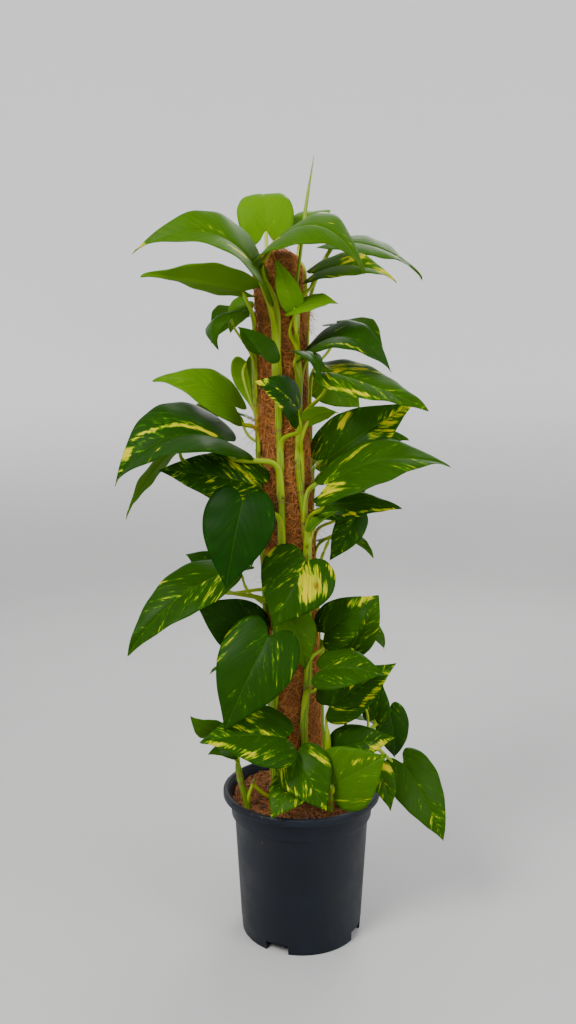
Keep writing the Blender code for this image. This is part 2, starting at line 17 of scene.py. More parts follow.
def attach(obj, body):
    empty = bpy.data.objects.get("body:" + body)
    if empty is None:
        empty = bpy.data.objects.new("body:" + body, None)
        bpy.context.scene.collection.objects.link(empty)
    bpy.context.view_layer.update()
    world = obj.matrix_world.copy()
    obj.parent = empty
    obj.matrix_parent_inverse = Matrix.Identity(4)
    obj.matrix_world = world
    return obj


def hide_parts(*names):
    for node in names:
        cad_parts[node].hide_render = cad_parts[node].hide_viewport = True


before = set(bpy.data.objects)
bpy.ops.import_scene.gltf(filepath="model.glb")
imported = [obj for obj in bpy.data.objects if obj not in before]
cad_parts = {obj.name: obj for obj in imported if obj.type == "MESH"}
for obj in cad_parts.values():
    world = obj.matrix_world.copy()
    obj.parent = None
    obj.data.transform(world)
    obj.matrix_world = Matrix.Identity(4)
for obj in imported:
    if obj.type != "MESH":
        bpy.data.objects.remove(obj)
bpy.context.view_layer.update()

CM = 0.01
UP = np.array((0, 0, 1.0))
DICE = np.random.default_rng(7)
BOX_CORNERS = np.array([(x, y, z) for z in (-1, 1) for x, y in ((-1, -1), (1, -1), (1, 1), (-1, 1))])
BOX_FACES = [[(3, 2, 1, 0), (4, 5, 6, 7), (0, 1, 5, 4), (1, 2, 6, 5), (2, 3, 7, 6), (3, 0, 4, 7)]]

# Pot
FOOT_RADIUS = 0.0725
WAIST_RADIUS = 0.0810
COLLAR_RADIUS = 0.0850
NECK_RADIUS = 0.0862
RIM_RADIUS = 0.095
RIM_WIDTH = 0.0045
RIM_DEPTH = 0.0085
POT_HEIGHT = 0.1755
COLLAR_HEIGHT = 0.143
COLLAR_STEP = 0.002
ROUNDING = 0.0015
WALL = 0.0018
FLOOR = 0.0025
POT_SIDES = 144
POT_SHARP_ANGLE = 38
POCKET_AZIMUTHS = (-24, 66, 156, 246)
POCKET_HEIGHT = 0.011
POCKET_WIDTH = 0.028
POCKET_INNER_RADIUS = 0.058
DRAIN_RADIUS = 0.005

# Soil
SOIL_LEVEL = 0.1635
SOIL_MOUND = 0.004
FRONT_HEAP = 0.004
SEAT_GAP = 0.0004
SOIL_RINGS = 60
SOIL_SIDES = 150
CHIPS = 1100
CHIP_SIZE = 0.0028
RIM_CRUMBS = 70
RIM_CRUMB_SIZE = 0.0007

# Pole
POLE_FOOT = (-0.0012, 0.0)
POLE_LEAN = -0.0427
SLEEVE_RADIUS = 0.027
SLEEVE_BOTTOM = 0.150
SLEEVE_TOP = 0.812
SLEEVE_DOME = 0.02
SLEEVE_RINGS = 246
DOME_RINGS = 14
SLEEVE_SIDES = 96
PILE = 0.0016
COIR_SPANS = {"coir_hairs_low": (0.165, 0.48), "coir_hairs_high": (0.48, 0.808)}
TUFTS = ((-62, 0.622), (84, 0.745), (48, 0.505), (-150, 0.58), (170, 0.33))

# Stems. The outlines are pairs: a share of the way along, and the radius there as a share.
STEM_RADIUS = 0.0044
STEM_TIP_RADIUS = 0.0030
STEM_STEP = 0.06
STEM_RING_STEP = 0.0035
STEM_BOTTOM = 0.135
STEM_SIDES = 24
RIDGES = 8
PETIOLE_RADIUS = 0.0019
PETIOLE_RINGS = 26
PETIOLE_SIDES = 14
PETIOLE_OUTLINE = ((0.0, 1.35), (0.26, 1.15), (0.52, 1.0), (0.78, 0.95), (1.0, 0.75))
STUB_RADIUS = 0.0024
SPEAR_RADIUS = 0.0022
SPEAR_OUTLINE = ((0.0, 0.8), (0.3, 0.8), (0.5, 1.0), (0.7, 0.9), (0.85, 0.6), (1.0, 0.15))
ROOT_RADIUS = 0.0011
ASIDE = (0.31, 0.95, 0.02)  # a direction that no stem runs in

# Blades. Depths, waves and ripples are in shares of a blade's length, thicknesses in metres.
VEIN_BEND = 1.4
VEINS = 13
VEIN_DEPTH = 0.0005
CHANNEL_DEPTH = 0.006
WAVE = 0.014
WAVES = 2.3
RIPPLE = 0.006
RIPPLES = 3.7
EDGE_THICKNESS = 0.0003
BLADE_THICKNESS = 0.0006
RIB_THICKNESS = 0.0011
SMALL_BLADE = 0.075
SMALL_GRID = (36, 20)
LARGE_GRID = (56, 26)
# From the joint to the tip: a place on the midrib, and the place on the edge that it is joined to.
HALF_BLADE = (
    (0.00, 0.00, 0.00),
    (0.02, -0.11, 0.22),
    (0.05, -0.14, 0.52),
    (0.10, -0.02, 0.86),
    (0.18, 0.22, 1.00),
    (0.30, 0.46, 0.86),
    (0.47, 0.68, 0.55),
    (0.70, 0.87, 0.21),
    (1.00, 1.00, 0.00),
)
BLADE_SLOT, STEM_SLOT, ROOT_SLOT = range(3)

# Studio
CAMERA_PLACE = (-0.0163, -1.0533, 0.630)
CAMERA_PITCH = 6.443
CAMERA_LENS = 31.64
SENSOR_WIDTH = 36.0
LIGHT_AIM = (0.0, 0.0, 0.5)
LIGHTS = {
    "key": ((-1.3, -1.6, 2.3), 1.1, 80.0, (1.0, 0.98, 0.95)),
    "fill": ((1.8, -1.3, 1.3), 1.6, 30.0, (0.96, 0.98, 1.0)),
    "back": ((0.6, 1.9, 2.0), 1.3, 34.0, (1.0, 0.98, 0.95)),
}
SKY_COLOUR = (0.97, 0.98, 1.0, 1.0)
SKY_STRENGTH = 0.78
STUDIO_REACH = 2.3
STUDIO_BEND = 1.0
STUDIO_TOP = 3.0
STUDIO_SIDES = 96


class Streak(NamedTuple):
    """A patch on a blade, from one point to another, in shares of the blade's length.

    The first number runs from the joint to the tip, the second across, to the blade's left.
    """

    start: tuple
    end: tuple
    reach: float
    strength: float = 0.8
    spot: float = 0.0  # brown, in place of yellow


class Leaf(NamedTuple):
    """A leaf. Its node is a height on the stem; joint and tip are the blade's two ends. All in cm."""

    node: float
    joint: tuple
    tip: tuple
    facing: tuple
    width: float = 0.74
    arch: float = 0.14
    fold: float = 8
    sag: float = 0.18
    twist: float = 0
    gold: float = 0.16  # how much of the blade is splashed with yellow
    tone: float = 0.2  # from 0, old and deep green, to 1, new and pale
    streaks: tuple = ()


class Hair(NamedTuple):
    """A kind of loose hair: how many there are, and the least and the most of what varies."""

    count: int
    length: tuple
    curl: tuple  # how far it wavers, in shares of its length
    lift: tuple  # how far its end lifts, in shares of its length
    radius: tuple
    shade: tuple  # from 0, dark, to 1, light
    segments: int


MATTED_HAIRS = 4300
STRAY = Hair(300, (0.008, 0.034), (0.05, 0.25), (-0.2, 0.2), (0.0001, 0.0002), (0.3, 1), 8)
TUFT = Hair(90, (0.012, 0.030), (0.05, 0.22), (-0.3, 0.1), (0.0001, 0.0003), (0.4, 1), 8)
SOIL_HAIR = Hair(1500, (0.004, 0.018), (0.05, 0.25), (-0.25, 0.05), (0.0001, 0.00024), (0, 1), 6)

# Climbing stems: heights, and the azimuths round the pole there
CLIMBS = {
    "vine_front_left": ((14, -62), (26, -60), (36, -40), (46, -14), (60, -12), (72, -10)),
    "vine_front_right": ((14, 30), (26, 14), (34, 34), (48, 40), (56, 24), (66, 36), (76, 32)),
    "vine_left": ((14, -104), (30, -98), (44, -84), (60, -80), (71, -84)),
    "vine_back_left": ((14, -150), (34, -140), (52, -152), (76, -146)),
    "vine_back_right": ((14, 128), (30, 112), (50, 122), (78, 116)),
}
# Leaves still rolled up, short stems and cut stalks, by the points that they run through
SPEARS = {
    "vine_front_right": ((-1.0, -2.8, 74.5), (-0.3, -3.1, 80.0), (0.3, -1.6, 85.0), (1.3, 0.2, 91.6)),
}
SHOOTS = {
    "shoot_left": ((-6.0, -3.3, 13.5), (-6.5, -3.6, 17.0), (-7.2, -4.0, 20.0), (-7.6, -4.2, 22.5)),
    "shoot_right": ((6.2, -2.6, 13.5), (6.5, -2.6, 17.5), (7.4, -2.0, 21.0), (8.0, -1.4, 24.5)),
    "shoot_front": ((3.0, -5.0, 13.5), (3.2, -5.2, 17.5), (3.0, -4.8, 21.5), (2.6, -4.2, 26.0)),
}
STUBS = {
    "vine_front_left": (((-2.9, -1.6, 16.6), (-4.4, -3.6, 18.0), (-5.9, -4.6, 20.0)),),
    "shoot_left": (((-6.4, -3.6, 16.9), (-6.1, -4.0, 18.4), (-5.5, -4.2, 20.2)),),
}

# The leaves of each stem
LEAVES = {
    "vine_front_left": (
        Leaf(66, (-4.6, -5.6, 77.5), (-17.7, -10.0, 79.3), (-12, 42), 0.54, 0.29, 18, gold=0.08, tone=0.38,
             streaks=(Streak((0.2, 0.1), (0.32, 0.13), 0.02), Streak((0.95, 0.0), (1.0, 0.0), 0.04))),
        Leaf(69, (-3.3, -6.0, 80.9), (6.4, -9.0, 77.3), (10, 50), 0.78, 0.33, 4, gold=0.08, tone=0.34,
             streaks=(Streak((0.0, -0.04), (0.1, -0.1), 0.06, 0.6),)),
        Leaf(61, (-3.1, -6.8, 70.4), (-6.9, -9.5, 71.7), (-10, 68), 1.00, 0.06, -38, gold=0.02, tone=0.12),
        Leaf(56, (-0.6, -6.5, 63.1), (-5.2, -10.0, 66.0), (0, 34), 0.85, 0.16, gold=0.16, tone=0.05,
             streaks=(Streak((0.86, -0.04), (0.95, 0.0), 0.06, 0.7),
                      Streak((0.5, 0.32), (0.85, 0.16), 0.04, 0.5),
                      Streak((0.3, 0.05), (0.6, 0.0), 0.03, 0.3))),
        Leaf(53, (-8.5, -5.0, 59.6), (-20.3, -9.0, 55.1), (-12, 52), 0.84, 0.25, 20, gold=0.06, tone=0.08,
             streaks=(Streak((0.08, -0.03), (0.38, -0.10), 0.018, 0.7),
                      Streak((0.38, -0.10), (0.70, -0.14), 0.015, 0.6),
                      Streak((0.12, -0.1), (0.5, -0.18), 0.03, 0.2),
                      Streak((0.50, 0.10), (0.6, 0.14), 0.018, 0.6),
                      Streak((0.82, -0.08), (1.0, 0.0), 0.035, 0.6))),
        Leaf(47, (-6.5, -9.2, 53.3), (-8.3, -10.2, 43.9), (-5, 15), 0.82, 0.06, gold=0.0, tone=0.03),
        Leaf(36, (-9.4, -5.0, 44.6), (-19.3, -9.0, 36.2), (-20, 50), 0.50, 0.12, 14, 0.2, -14,
             gold=0.22, tone=0.12),
        Leaf(28, (-3.8, -8.0, 38.1), (-8.6, -10.0, 28.1), (-5, 18), 0.78, 0.08, gold=0.14, tone=0.08),
        Leaf(19, (-1.9, -7.6, 26.4), (-11.3, -10.6, 27.0), (-5, 45), 0.78, 0.12, gold=0.2, tone=0.12,
             streaks=(Streak((0.66, 0.14), (0.9, 0.04), 0.03, 0.6),
                      Streak((0.44, 0.24), (0.56, 0.2), 0.035, 0.4),
                      Streak((0.28, -0.24), (0.42, -0.2), 0.05, 0.45),
                      Streak((0.42, -0.05), (0.6, -0.1), 0.03, 0.35))),
        Leaf(17.5, (-0.5, -7.2, 21.4), (-3.5, -10.3, 18.1), (-10, 50), 0.9, 0.1, gold=0.3, tone=0.2),
    ),
    "vine_front_right": (
        Leaf(72, (1.5, -3.2, 78.2), (10.3, -4.6, 77.0), (10, 50), 0.60, 0.16, 12, gold=0.28, tone=0.35,
             streaks=(Streak((0.1, -0.18), (0.7, -0.12), 0.07, -0.4),
                      Streak((0.36, 0.1), (0.5, 0.16), 0.07, 0.4),
                      Streak((0.74, 0.02), (0.92, 0.0), 0.05, 0.5))),
        Leaf(65, (-0.8, -5.0, 74.1), (3.7, -8.0, 74.3), (20, 40), 0.80, 0.05, 14, gold=0.1, tone=0.78),
        Leaf(66, (-1.0, -5.4, 74.3), (-3.0, -6.4, 79.2), (0, 5), 0.50, 0.05, gold=0.05, tone=0.8),
        Leaf(61, (1.0, -2.8, 70.0), (9.7, -6.0, 67.1), (15, 45), 0.70, 0.30, 14, gold=0.06, tone=0.10,
             streaks=(Streak((0.24, 0.12), (0.32, 0.16), 0.02, 0.5),
                      Streak((0.25, -0.25), (0.8, -0.13), 0.015, 0.5))),
        Leaf(63, (-0.4, -6.2, 69.4), (1.7, -8.6, 66.2), (40, 45), 0.70, 0.22, gold=0.04, tone=0.12),
        Leaf(57, (3.2, -5.4, 67.2), (13.4, -9.0, 63.0), (10, 50), 0.54, 0.03, gold=0.18, tone=0.2,
             streaks=(Streak((-0.05, 0.05), (0.18, 0.16), 0.09, 0.45),
                      Streak((0.12, -0.22), (0.6, -0.15), 0.02, 0.5))),
        Leaf(54, (0.6, -4.5, 62.0), (3.9, -7.0, 62.7), (160, 60), 0.70, gold=0.12, tone=0.75),
        Leaf(50, (3.0, -1.2, 57.4), (12.6, -2.6, 63.8), (-5, 20), 0.64, 0.08, gold=0.2, tone=0.16,
             streaks=(Streak((0.5, -0.08), (0.95, 0.0), 0.05, 0.6),
                      Streak((0.3, 0.2), (0.4, 0.26), 0.04, 0.5),
                      Streak((0.46, -0.24), (0.66, -0.17), 0.03, 0.4))),
        Leaf(46, (3.0, -7.0, 55.2), (15.8, -9.0, 57.1), (0, 54), 0.62, 0.16, gold=0.12, tone=0.17,
             streaks=(Streak((-0.05, -0.05), (0.06, -0.12), 0.08, 0.5),
                      Streak((0.04, 0.08), (0.3, 0.2), 0.08, 0.12))),
        Leaf(44, (2.3, -3.0, 52.2), (11.2, -5.0, 52.1), (0, 40), 0.46, 0.06, gold=0.16, tone=0.12,
             streaks=(Streak((0.3, -0.17), (0.9, -0.04), 0.02, 0.6),)),
        Leaf(45, (1.0, -4.5, 49.5), (3.9, -5.0, 51.8), (0, 60), 0.36, 0.05, 50, gold=0.2, tone=0.5),
        Leaf(40.5, (0.3, -6.0, 46.2), (-3.3, -8.0, 39.2), (5, 22), 1.05, 0.08, gold=0.22, tone=0.12,
             streaks=(Streak((0.12, 0.12), (0.26, 0.30), 0.12, 0.6),
                      Streak((0.26, 0.12), (0.44, 0.22), 0.08, 0.6),
                      Streak((0.23, 0.28), (0.25, 0.29), 0.032, 0.0, 0.95),
                      Streak((-0.1, 0.34), (0.02, 0.46), 0.035, 0.6),
                      Streak((0.02, -0.5), (0.12, -0.5), 0.04, 0.6))),
        Leaf(31, (-1.4, -4.6, 39.4), (0.3, -5.2, 33.6), (20, 20), 0.85, gold=0.02, tone=0.34),
        Leaf(31, (2.7, -2.8, 37.3), (8.5, -5.6, 42.3), (-5, 26), 0.66, 0.08, gold=0.2, tone=0.14,
             streaks=(Streak((0.6, 0.1), (0.9, 0.04), 0.05, 0.5),)),
        Leaf(26, (2.2, -8.0, 34.4), (9.0, -10.2, 34.4), (5, 50), 0.80, 0.10, gold=0.16, tone=0.15),
        Leaf(18, (-0.6, -7.2, 24.0), (2.6, -9.8, 18.8), (0, 30), 0.95, 0.10, gold=0.22, tone=0.16,
             streaks=(Streak((0.02, 0.26), (0.3, 0.38), 0.045, 0.4),
                      Streak((0.4, -0.36), (0.56, -0.3), 0.04, 0.6),
                      Streak((-0.04, -0.3), (0.1, -0.4), 0.05, 0.4),
                      Streak((0.9, 0.0), (1.0, 0.0), 0.06, 0.3))),
    ),
    "vine_left": (
        Leaf(66, (-6.5, -3.0, 76.2), (-17.9, -4.0, 77.8), (-160, 65), 0.50, 0.02, 24, gold=0.08, tone=0.55),
        Leaf(64, (-8.2, -3.8, 73.8), (-9.2, -6.0, 69.5), (-55, 35), 0.95, 0.34, -10, gold=0.03, tone=0.18),
        Leaf(65, (-6.6, 1.0, 75.4), (-8.4, 2.0, 72.0), (-20, 30), 0.80, gold=0.06, tone=0.4),
        Leaf(58, (-7.6, -3.0, 63.4), (-16.8, -4.0, 66.3), (-25, 42), 0.58, 0.20, 8, gold=0.05, tone=0.62),
        Leaf(54, (-6.6, 3.0, 68.7), (-5.9, 4.0, 62.9), (175, 10), 0.70, gold=0.06, tone=0.85),
        Leaf(49, (-14.4, -1.0, 59.0), (-20.3, -3.0, 50.6), (-100, 20), 0.50, 0.06, gold=0.08, tone=0.4),
        Leaf(46, (-5.1, -4.0, 54.6), (-15.8, -7.0, 56.5), (-5, 32), 0.64, 0.06, gold=0.32, tone=0.1),
        Leaf(31, (-5.4, -2.6, 36.9), (-12.4, -3.6, 41.0), (-10, 25), 0.80, 0.08, gold=0.02, tone=0.1),
    ),
    "vine_back_left": (
        Leaf(73, (-4.2, 3.6, 84.2), (-4.6, 9.0, 88.8), (0, 50), 0.95, 0.30, 5, gold=0.04, tone=0.78),
        Leaf(64, (-6.0, 5.5, 74.5), (-11.5, 11.5, 71.5), (-150, 45), 0.72, 0.22, 12, gold=0.24),
        Leaf(60, (-2.0, 9.0, 66.5), (-0.5, 12.5, 61.5), (175, 30), 0.80, gold=0.1, tone=0.5),
        Leaf(53, (-7.5, 6.5, 62.5), (-15.5, 10.5, 59.5), (-140, 50), 0.66, 0.20, 14, gold=0.3, tone=0.1),
        Leaf(43, (-4.5, 7.5, 51.5), (-6.5, 12.0, 42.5), (-165, 18), 0.78, 0.12, gold=0.12, tone=0.08),
        Leaf(37, (-10.0, 1.6, 43.8), (-13.9, 1.0, 45.9), (0, 30), 0.80, gold=0.04, tone=0.1),
        Leaf(33, (-7.5, 5.5, 43.0), (-12.5, 10.0, 38.5), (-130, 40), 0.60, 0.10, 18, gold=0.34),
        Leaf(30, (-1.5, 8.0, 37.5), (0.5, 12.5, 30.5), (170, 30), 0.84, 0.10, gold=0.2, tone=0.3),
        Leaf(23, (-6.5, 6.0, 30.0), (-12.0, 10.0, 28.5), (-135, 60), 0.74, 0.14, gold=0.28, tone=0.1),
        Leaf(17.5, (-3.5, 8.6, 24.5), (-6.0, 13.0, 19.5), (-165, 40), 0.80, gold=0.08, tone=0.4),
    ),
    "vine_back_right": (
        Leaf(74, (0.0, 5.5, 84.5), (3.4, 11.5, 87.0), (150, 55), 0.80, 0.20, gold=0.08, tone=0.6),
        Leaf(69, (3.6, 2.0, 82.4), (14.3, 3.0, 78.4), (20, 60), 0.56, 0.12, gold=0.08, tone=0.26),
        Leaf(61, (4.5, 6.0, 73.5), (10.5, 11.0, 70.5), (140, 45), 0.66, 0.14, 14, gold=0.12, tone=0.15),
        Leaf(58, (2.2, 6.5, 67.0), (7.4, 8.0, 63.3), (10, 20), 0.86, gold=0.04, tone=0.5),
        Leaf(52, (3.0, 7.5, 58.5), (6.5, 12.5, 51.0), (155, 25), 0.76, 0.10, gold=0.36, tone=0.1),
        Leaf(50, (5.6, 2.0, 59.6), (12.9, 2.4, 59.5), (10, 30), 0.50, gold=0.12),
        Leaf(45, (4.8, 1.6, 52.5), (8.7, 1.8, 54.8), (0, 40), 0.70, gold=0.16),
        Leaf(43, (6.3, -1.4, 50.8), (3.2, -1.8, 45.6), (10, 20), 0.60, gold=0.18, tone=0.1),
        Leaf(39, (3.5, 6.5, 47.0), (9.5, 10.0, 44.0), (140, 50), 0.62, 0.16, 12, gold=0.12, tone=0.12),
        Leaf(30, (6.0, -1.0, 35.2), (9.2, 0.0, 41.2), (10, 20), 0.60, gold=0.22, tone=0.2),
        Leaf(32, (8.2, 1.0, 37.2), (10.1, 2.0, 34.0), (40, 30), 0.60, gold=0.1),
        Leaf(24, (3.0, 8.0, 33.5), (4.5, 13.0, 26.0), (165, 22), 0.80, 0.08, gold=0.26, tone=0.12),
        Leaf(17.5, (6.0, 5.5, 24.5), (11.5, 9.0, 20.5), (125, 45), 0.72, 0.10, gold=0.14, tone=0.3),
    ),
    "shoot_left": (
        Leaf(21, (-10.1, -4.0, 25.9), (-12.9, -5.0, 28.0), (-60, 30), 0.90, gold=0.08, tone=0.3),
        Leaf(20, (-8.0, -5.0, 23.7), (-10.8, -6.2, 23.9), (-30, 60), 0.90, gold=0.05, tone=0.15),
    ),
    "shoot_right": (
        Leaf(22, (12.3, -1.0, 20.7), (16.8, -4.0, 12.4), (20, 25), 0.66, 0.08, gold=0.08, tone=0.18,
             streaks=(Streak((0.75, 0.05), (1.0, 0.0), 0.14, 0.28),
                      Streak((0.3, 0.02), (0.36, 0.04), 0.03, 0.4))),
        Leaf(20, (8.8, -5.0, 22.0), (10.1, -7.0, 17.5), (10, 30), 0.60, gold=0.26, tone=0.2,
             streaks=(Streak((0.0, 0.0), (0.12, 0.24), 0.07, 0.5),)),
        Leaf(23, (8.8, -0.6, 26.2), (9.8, 0.4, 30.2), (-10, 15), 0.80, gold=0.24, tone=0.12),
        Leaf(22.5, (10.8, 1.5, 26.3), (11.6, 2.3, 20.2), (10, 10), 0.70, gold=0.05, tone=0.1),
        Leaf(24, (6.2, -1.6, 31.4), (7.7, -2.6, 33.8), (0, 30), 0.90, gold=0.2, tone=0.2),
    ),
    "shoot_front": (
        Leaf(22, (3.2, -5.0, 29.3), (10.5, -7.2, 34.9), (0, 25), 0.60, 0.08, gold=0.2, tone=0.14,
             streaks=(Streak((0.4, -0.2), (0.85, -0.1), 0.03, 0.5),
                      Streak((0.4, 0.06), (0.6, 0.14), 0.04, 0.3))),
        Leaf(19, (3.9, -4.6, 23.9), (10.5, -7.2, 26.3), (0, 35), 0.66, 0.10, gold=0.16, tone=0.12,
             streaks=(Streak((0.5, -0.2), (0.95, -0.02), 0.05, 0.5),)),
        Leaf(18, (3.6, -7.4, 20.8), (9.3, -9.0, 25.0), (0, 20), 1.05, 0.08, gold=0.12, tone=0.38,
             streaks=(Streak((0.5, 0.16), (0.95, 0.03), 0.03, 0.4),)),
    ),
}


def unit(vector):
    return vector / np.linalg.norm(vector, axis=-1, keepdims=True)


def compass(azimuth, elevation):
    """The direction at an azimuth from the front and an elevation, in degrees."""
    a, e = radians(azimuth), radians(elevation)
    return np.array((sin(a) * cos(e), -cos(a) * cos(e), sin(e)))


def stacked(*parts):
    """Numbers and arrays, spread to one shape and set side by side on a last axis."""
    return np.stack(np.broadcast_arrays(*parts), axis=-1)


def circle(sides):
    """Angles evenly spaced round a circle."""
    return 2 * pi * np.arange(sides) / sides


def bell(value, width):
    return np.exp(-((value / width) ** 2))


def smooth_step(low, high, value):
    t = np.clip((value - low) / (high - low), 0, 1)
    return t * t * (3 - 2 * t)


def read_off(pairs, at):
    """The values at some places of a line through pairs of a place and its value."""
    places, values = zip(*pairs)
    return np.interp(at, places, values)


def smooth_path(points, shares):
    """The points at shares of the way along a smooth curve through all the points."""
    points = np.asarray(points, float)
    spans = len(points) - 1
    place = np.clip(shares, 0, 1) * spans
    i = np.minimum(place.astype(int), spans - 1)
    t = (place - i)[:, None]
    padded = np.concatenate([[2 * points[0] - points[1]], points, [2 * points[-1] - points[-2]]])
    before, a, b, after = padded[i], padded[i + 1], padded[i + 2], padded[i + 3]
    return (
        a
        + 0.5 * t * (b - before)
        + 0.5 * t * t * (2 * before - 5 * a + 4 * b - after)
        + 0.5 * t**3 * (3 * (a - b) + after - before)
    )


def round_axis(radius, azimuth, height):
    """Points round the upright axis through the pot."""
    return stacked(radius * np.sin(azimuth), -radius * np.cos(azimuth), height)


def pole_axis(height):
    return stacked(POLE_FOOT[0] + POLE_LEAN * (height - SOIL_LEVEL), POLE_FOOT[1], height)


def round_pole(azimuth, height, reach):
    """Points round the pole, at distances from its axis, and the ways out of it there."""
    out = round_axis(1.0, azimuth, 0.0)
    return pole_axis(height) + np.asarray(reach)[..., None] * out, out


def stem_points(name):
    """The stem's axis from the soil up, as in the solids."""
    if name in SHOOTS:
        return smooth_path(SHOOTS[name], np.arange(7) / 6) * CM
    top = CLIMBS[name][-1][0] * CM
    heights = np.linspace(STEM_BOTTOM, top, round((top - STEM_BOTTOM) / STEM_STEP) + 1)
    azimuths = np.radians(read_off(CLIMBS[name], heights / CM))
    return round_pole(azimuths, heights, SLEEVE_RADIUS + STEM_RADIUS + SEAT_GAP)[0]


def stem_at(points, height):
    return np.array([np.interp(height, points[:, 2], points[:, k]) for k in range(3)])


class Mesh:
    """A mesh in the making. Each point has a place, in its own pattern's space, and a look."""

    def __init__(self):
        self.points, self.places, self.looks = [], [], []
        self.corners, self.sizes, self.slots = [], [], []
        self.count = 0

    def add(self, points, faces, place=(0, 0, 0), look=(0, 0, 0, 0), slot=0):
        """faces is a list of arrays of point numbers, one row for each face."""
        points = np.reshape(points, (-1, 3))
        self.points.append(points)
        self.places.append(np.broadcast_to(np.reshape(place, (-1, 3)), points.shape))
        self.looks.append(np.broadcast_to(np.reshape(look, (-1, 4)), (len(points), 4)))
        for group in faces:
            group = np.asarray(group)
            self.corners.append((group + self.count).ravel())
            self.sizes.append(np.full(len(group), group.shape[1]))
            self.slots.append(np.full(len(group), slot))
        self.count += len(points)

    def build(self, name, materials):
        points, corners = np.concatenate(self.points), np.concatenate(self.corners)
        sizes = np.concatenate(self.sizes)
        mesh = bpy.data.meshes.new(name)
        mesh.vertices.add(len(points))
        mesh.loops.add(len(corners))
        mesh.polygons.add(len(sizes))
        mesh.vertices.foreach_set("co", points.astype(np.float32).ravel())
        mesh.loops.foreach_set("vertex_index", corners.astype(np.int32))
        mesh.polygons.foreach_set("loop_start", (np.cumsum(sizes) - sizes).astype(np.int32))
        mesh.polygons.foreach_set("material_index", np.concatenate(self.slots).astype(np.int32))
        mesh.polygons.foreach_set("use_smooth", np.ones(len(sizes), bool))
        place = mesh.attributes.new("place", "FLOAT_VECTOR", "POINT")
        place.data.foreach_set("vector", np.concatenate(self.places).astype(np.float32).ravel())
        look = mesh.attributes.new("look", "FLOAT_COLOR", "POINT")
        look.data.foreach_set("color", np.concatenate(self.looks).astype(np.float32).ravel())
        mesh.update(calc_edges=True)
        mesh.validate()
        for made in materials:
            mesh.materials.append(made)
        obj = bpy.data.objects.new(name, mesh)
        bpy.context.scene.collection.objects.link(obj)
        return obj


def tube_faces(rings, sides):
    """Quads round a tube, and its two ends."""
    r, k = np.meshgrid(np.arange(rings - 1), np.arange(sides), indexing="ij")
    a, b = r * sides + k, r * sides + (k + 1) % sides
    first = np.arange(sides)
    return [stacked(a, b, b + sides, a + sides).reshape(-1, 4), [first[::-1]],
            [first + (rings - 1) * sides]]


def flipped(faces):
    return [np.array(group)[:, ::-1] for group in faces]


def own(obj):
    """A piece of the plant: it rides on the one body."""
    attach(obj, "root")
    return obj


def add_tube(mesh, line, wide, deep, ahead, place, look, slot=STEM_SLOT):
    """A tube round a line of points.

    wide and deep are its radii to its sides and ahead, a row for each ring and a column for each
    of the ring's points. place and look are in parts, each a number or an array like those.
    """
    angles = circle(wide.shape[1])
    tangents = unit(np.gradient(line, axis=0))
    ahead = np.broadcast_to(ahead, line.shape)
    ahead = unit(ahead - tangents * (ahead * tangents).sum(1, keepdims=True))
    side = np.cross(ahead, tangents)
    rings = (
        line[:, None]
        + (wide * np.cos(angles))[..., None] * side[:, None]
        + (deep * np.sin(angles))[..., None] * ahead[:, None]
    )
    place = np.broadcast_to(stacked(*place), rings.shape)
    look = np.broadcast_to(stacked(*look), (*wide.shape, 4))
    mesh.add(rings, tube_faces(*wide.shape), place, look, slot)


def blade_frame(leaf):
    """The blade's joint, length and its three directions: along, to its left, and up from it."""
    joint, tip = np.array(leaf.joint) * CM, np.array(leaf.tip) * CM
    along = unit(tip - joint)
    facing = compass(*leaf.facing)
    up = unit(facing - along * (facing @ along))
    return joint, np.linalg.norm(tip - joint), along, np.cross(up, along), up


def vein_place(x, y):
    """Side veins leave the midrib at a slant and sweep to the tip: this is the same all along one."""
    return x - 1.15 * np.abs(y) - 1.7 * y**2


def blade_flat(leaf, stations, across):
    """The blade laid flat: along and across, in shares of its length."""
    vein, edge_x, edge_y = smooth_path(HALF_BLADE, stations).T[:, :, None]
    x = vein + (edge_x - vein) * np.abs(across) ** VEIN_BEND
    return x, edge_y * leaf.width / 2 * across


def blade_rise(leaf, x, y, stations, across, seed):
    """How far the blade's middle surface lies above its flat outline, in shares of its length."""
    half, side = leaf.width / 2, np.abs(across)
    cup = tan(radians(leaf.fold)) * np.abs(y) - leaf.sag * half * (y / half) ** 2
    phase = 0.31 * leaf.node + 0.5 * (across > 0)
    wave = WAVE * side**2 * np.sin(2 * pi * (WAVES * stations[:, None] + phase))
    ripple = RIPPLE * side**2 * np.sin(2 * pi * (RIPPLES * x + seed) + 4 * y)
    crease = smooth_step(0.2, 1.0, np.cos(2 * pi * VEINS * vein_place(x, y)))
    veins = VEIN_DEPTH * crease * smooth_step(0.015, 0.06, np.abs(y)) * (1 - side**6)
    channel = CHANNEL_DEPTH * bell(y, 0.014) * smooth_step(0, 0.05, x)
    return cup + wave + ripple - veins - channel


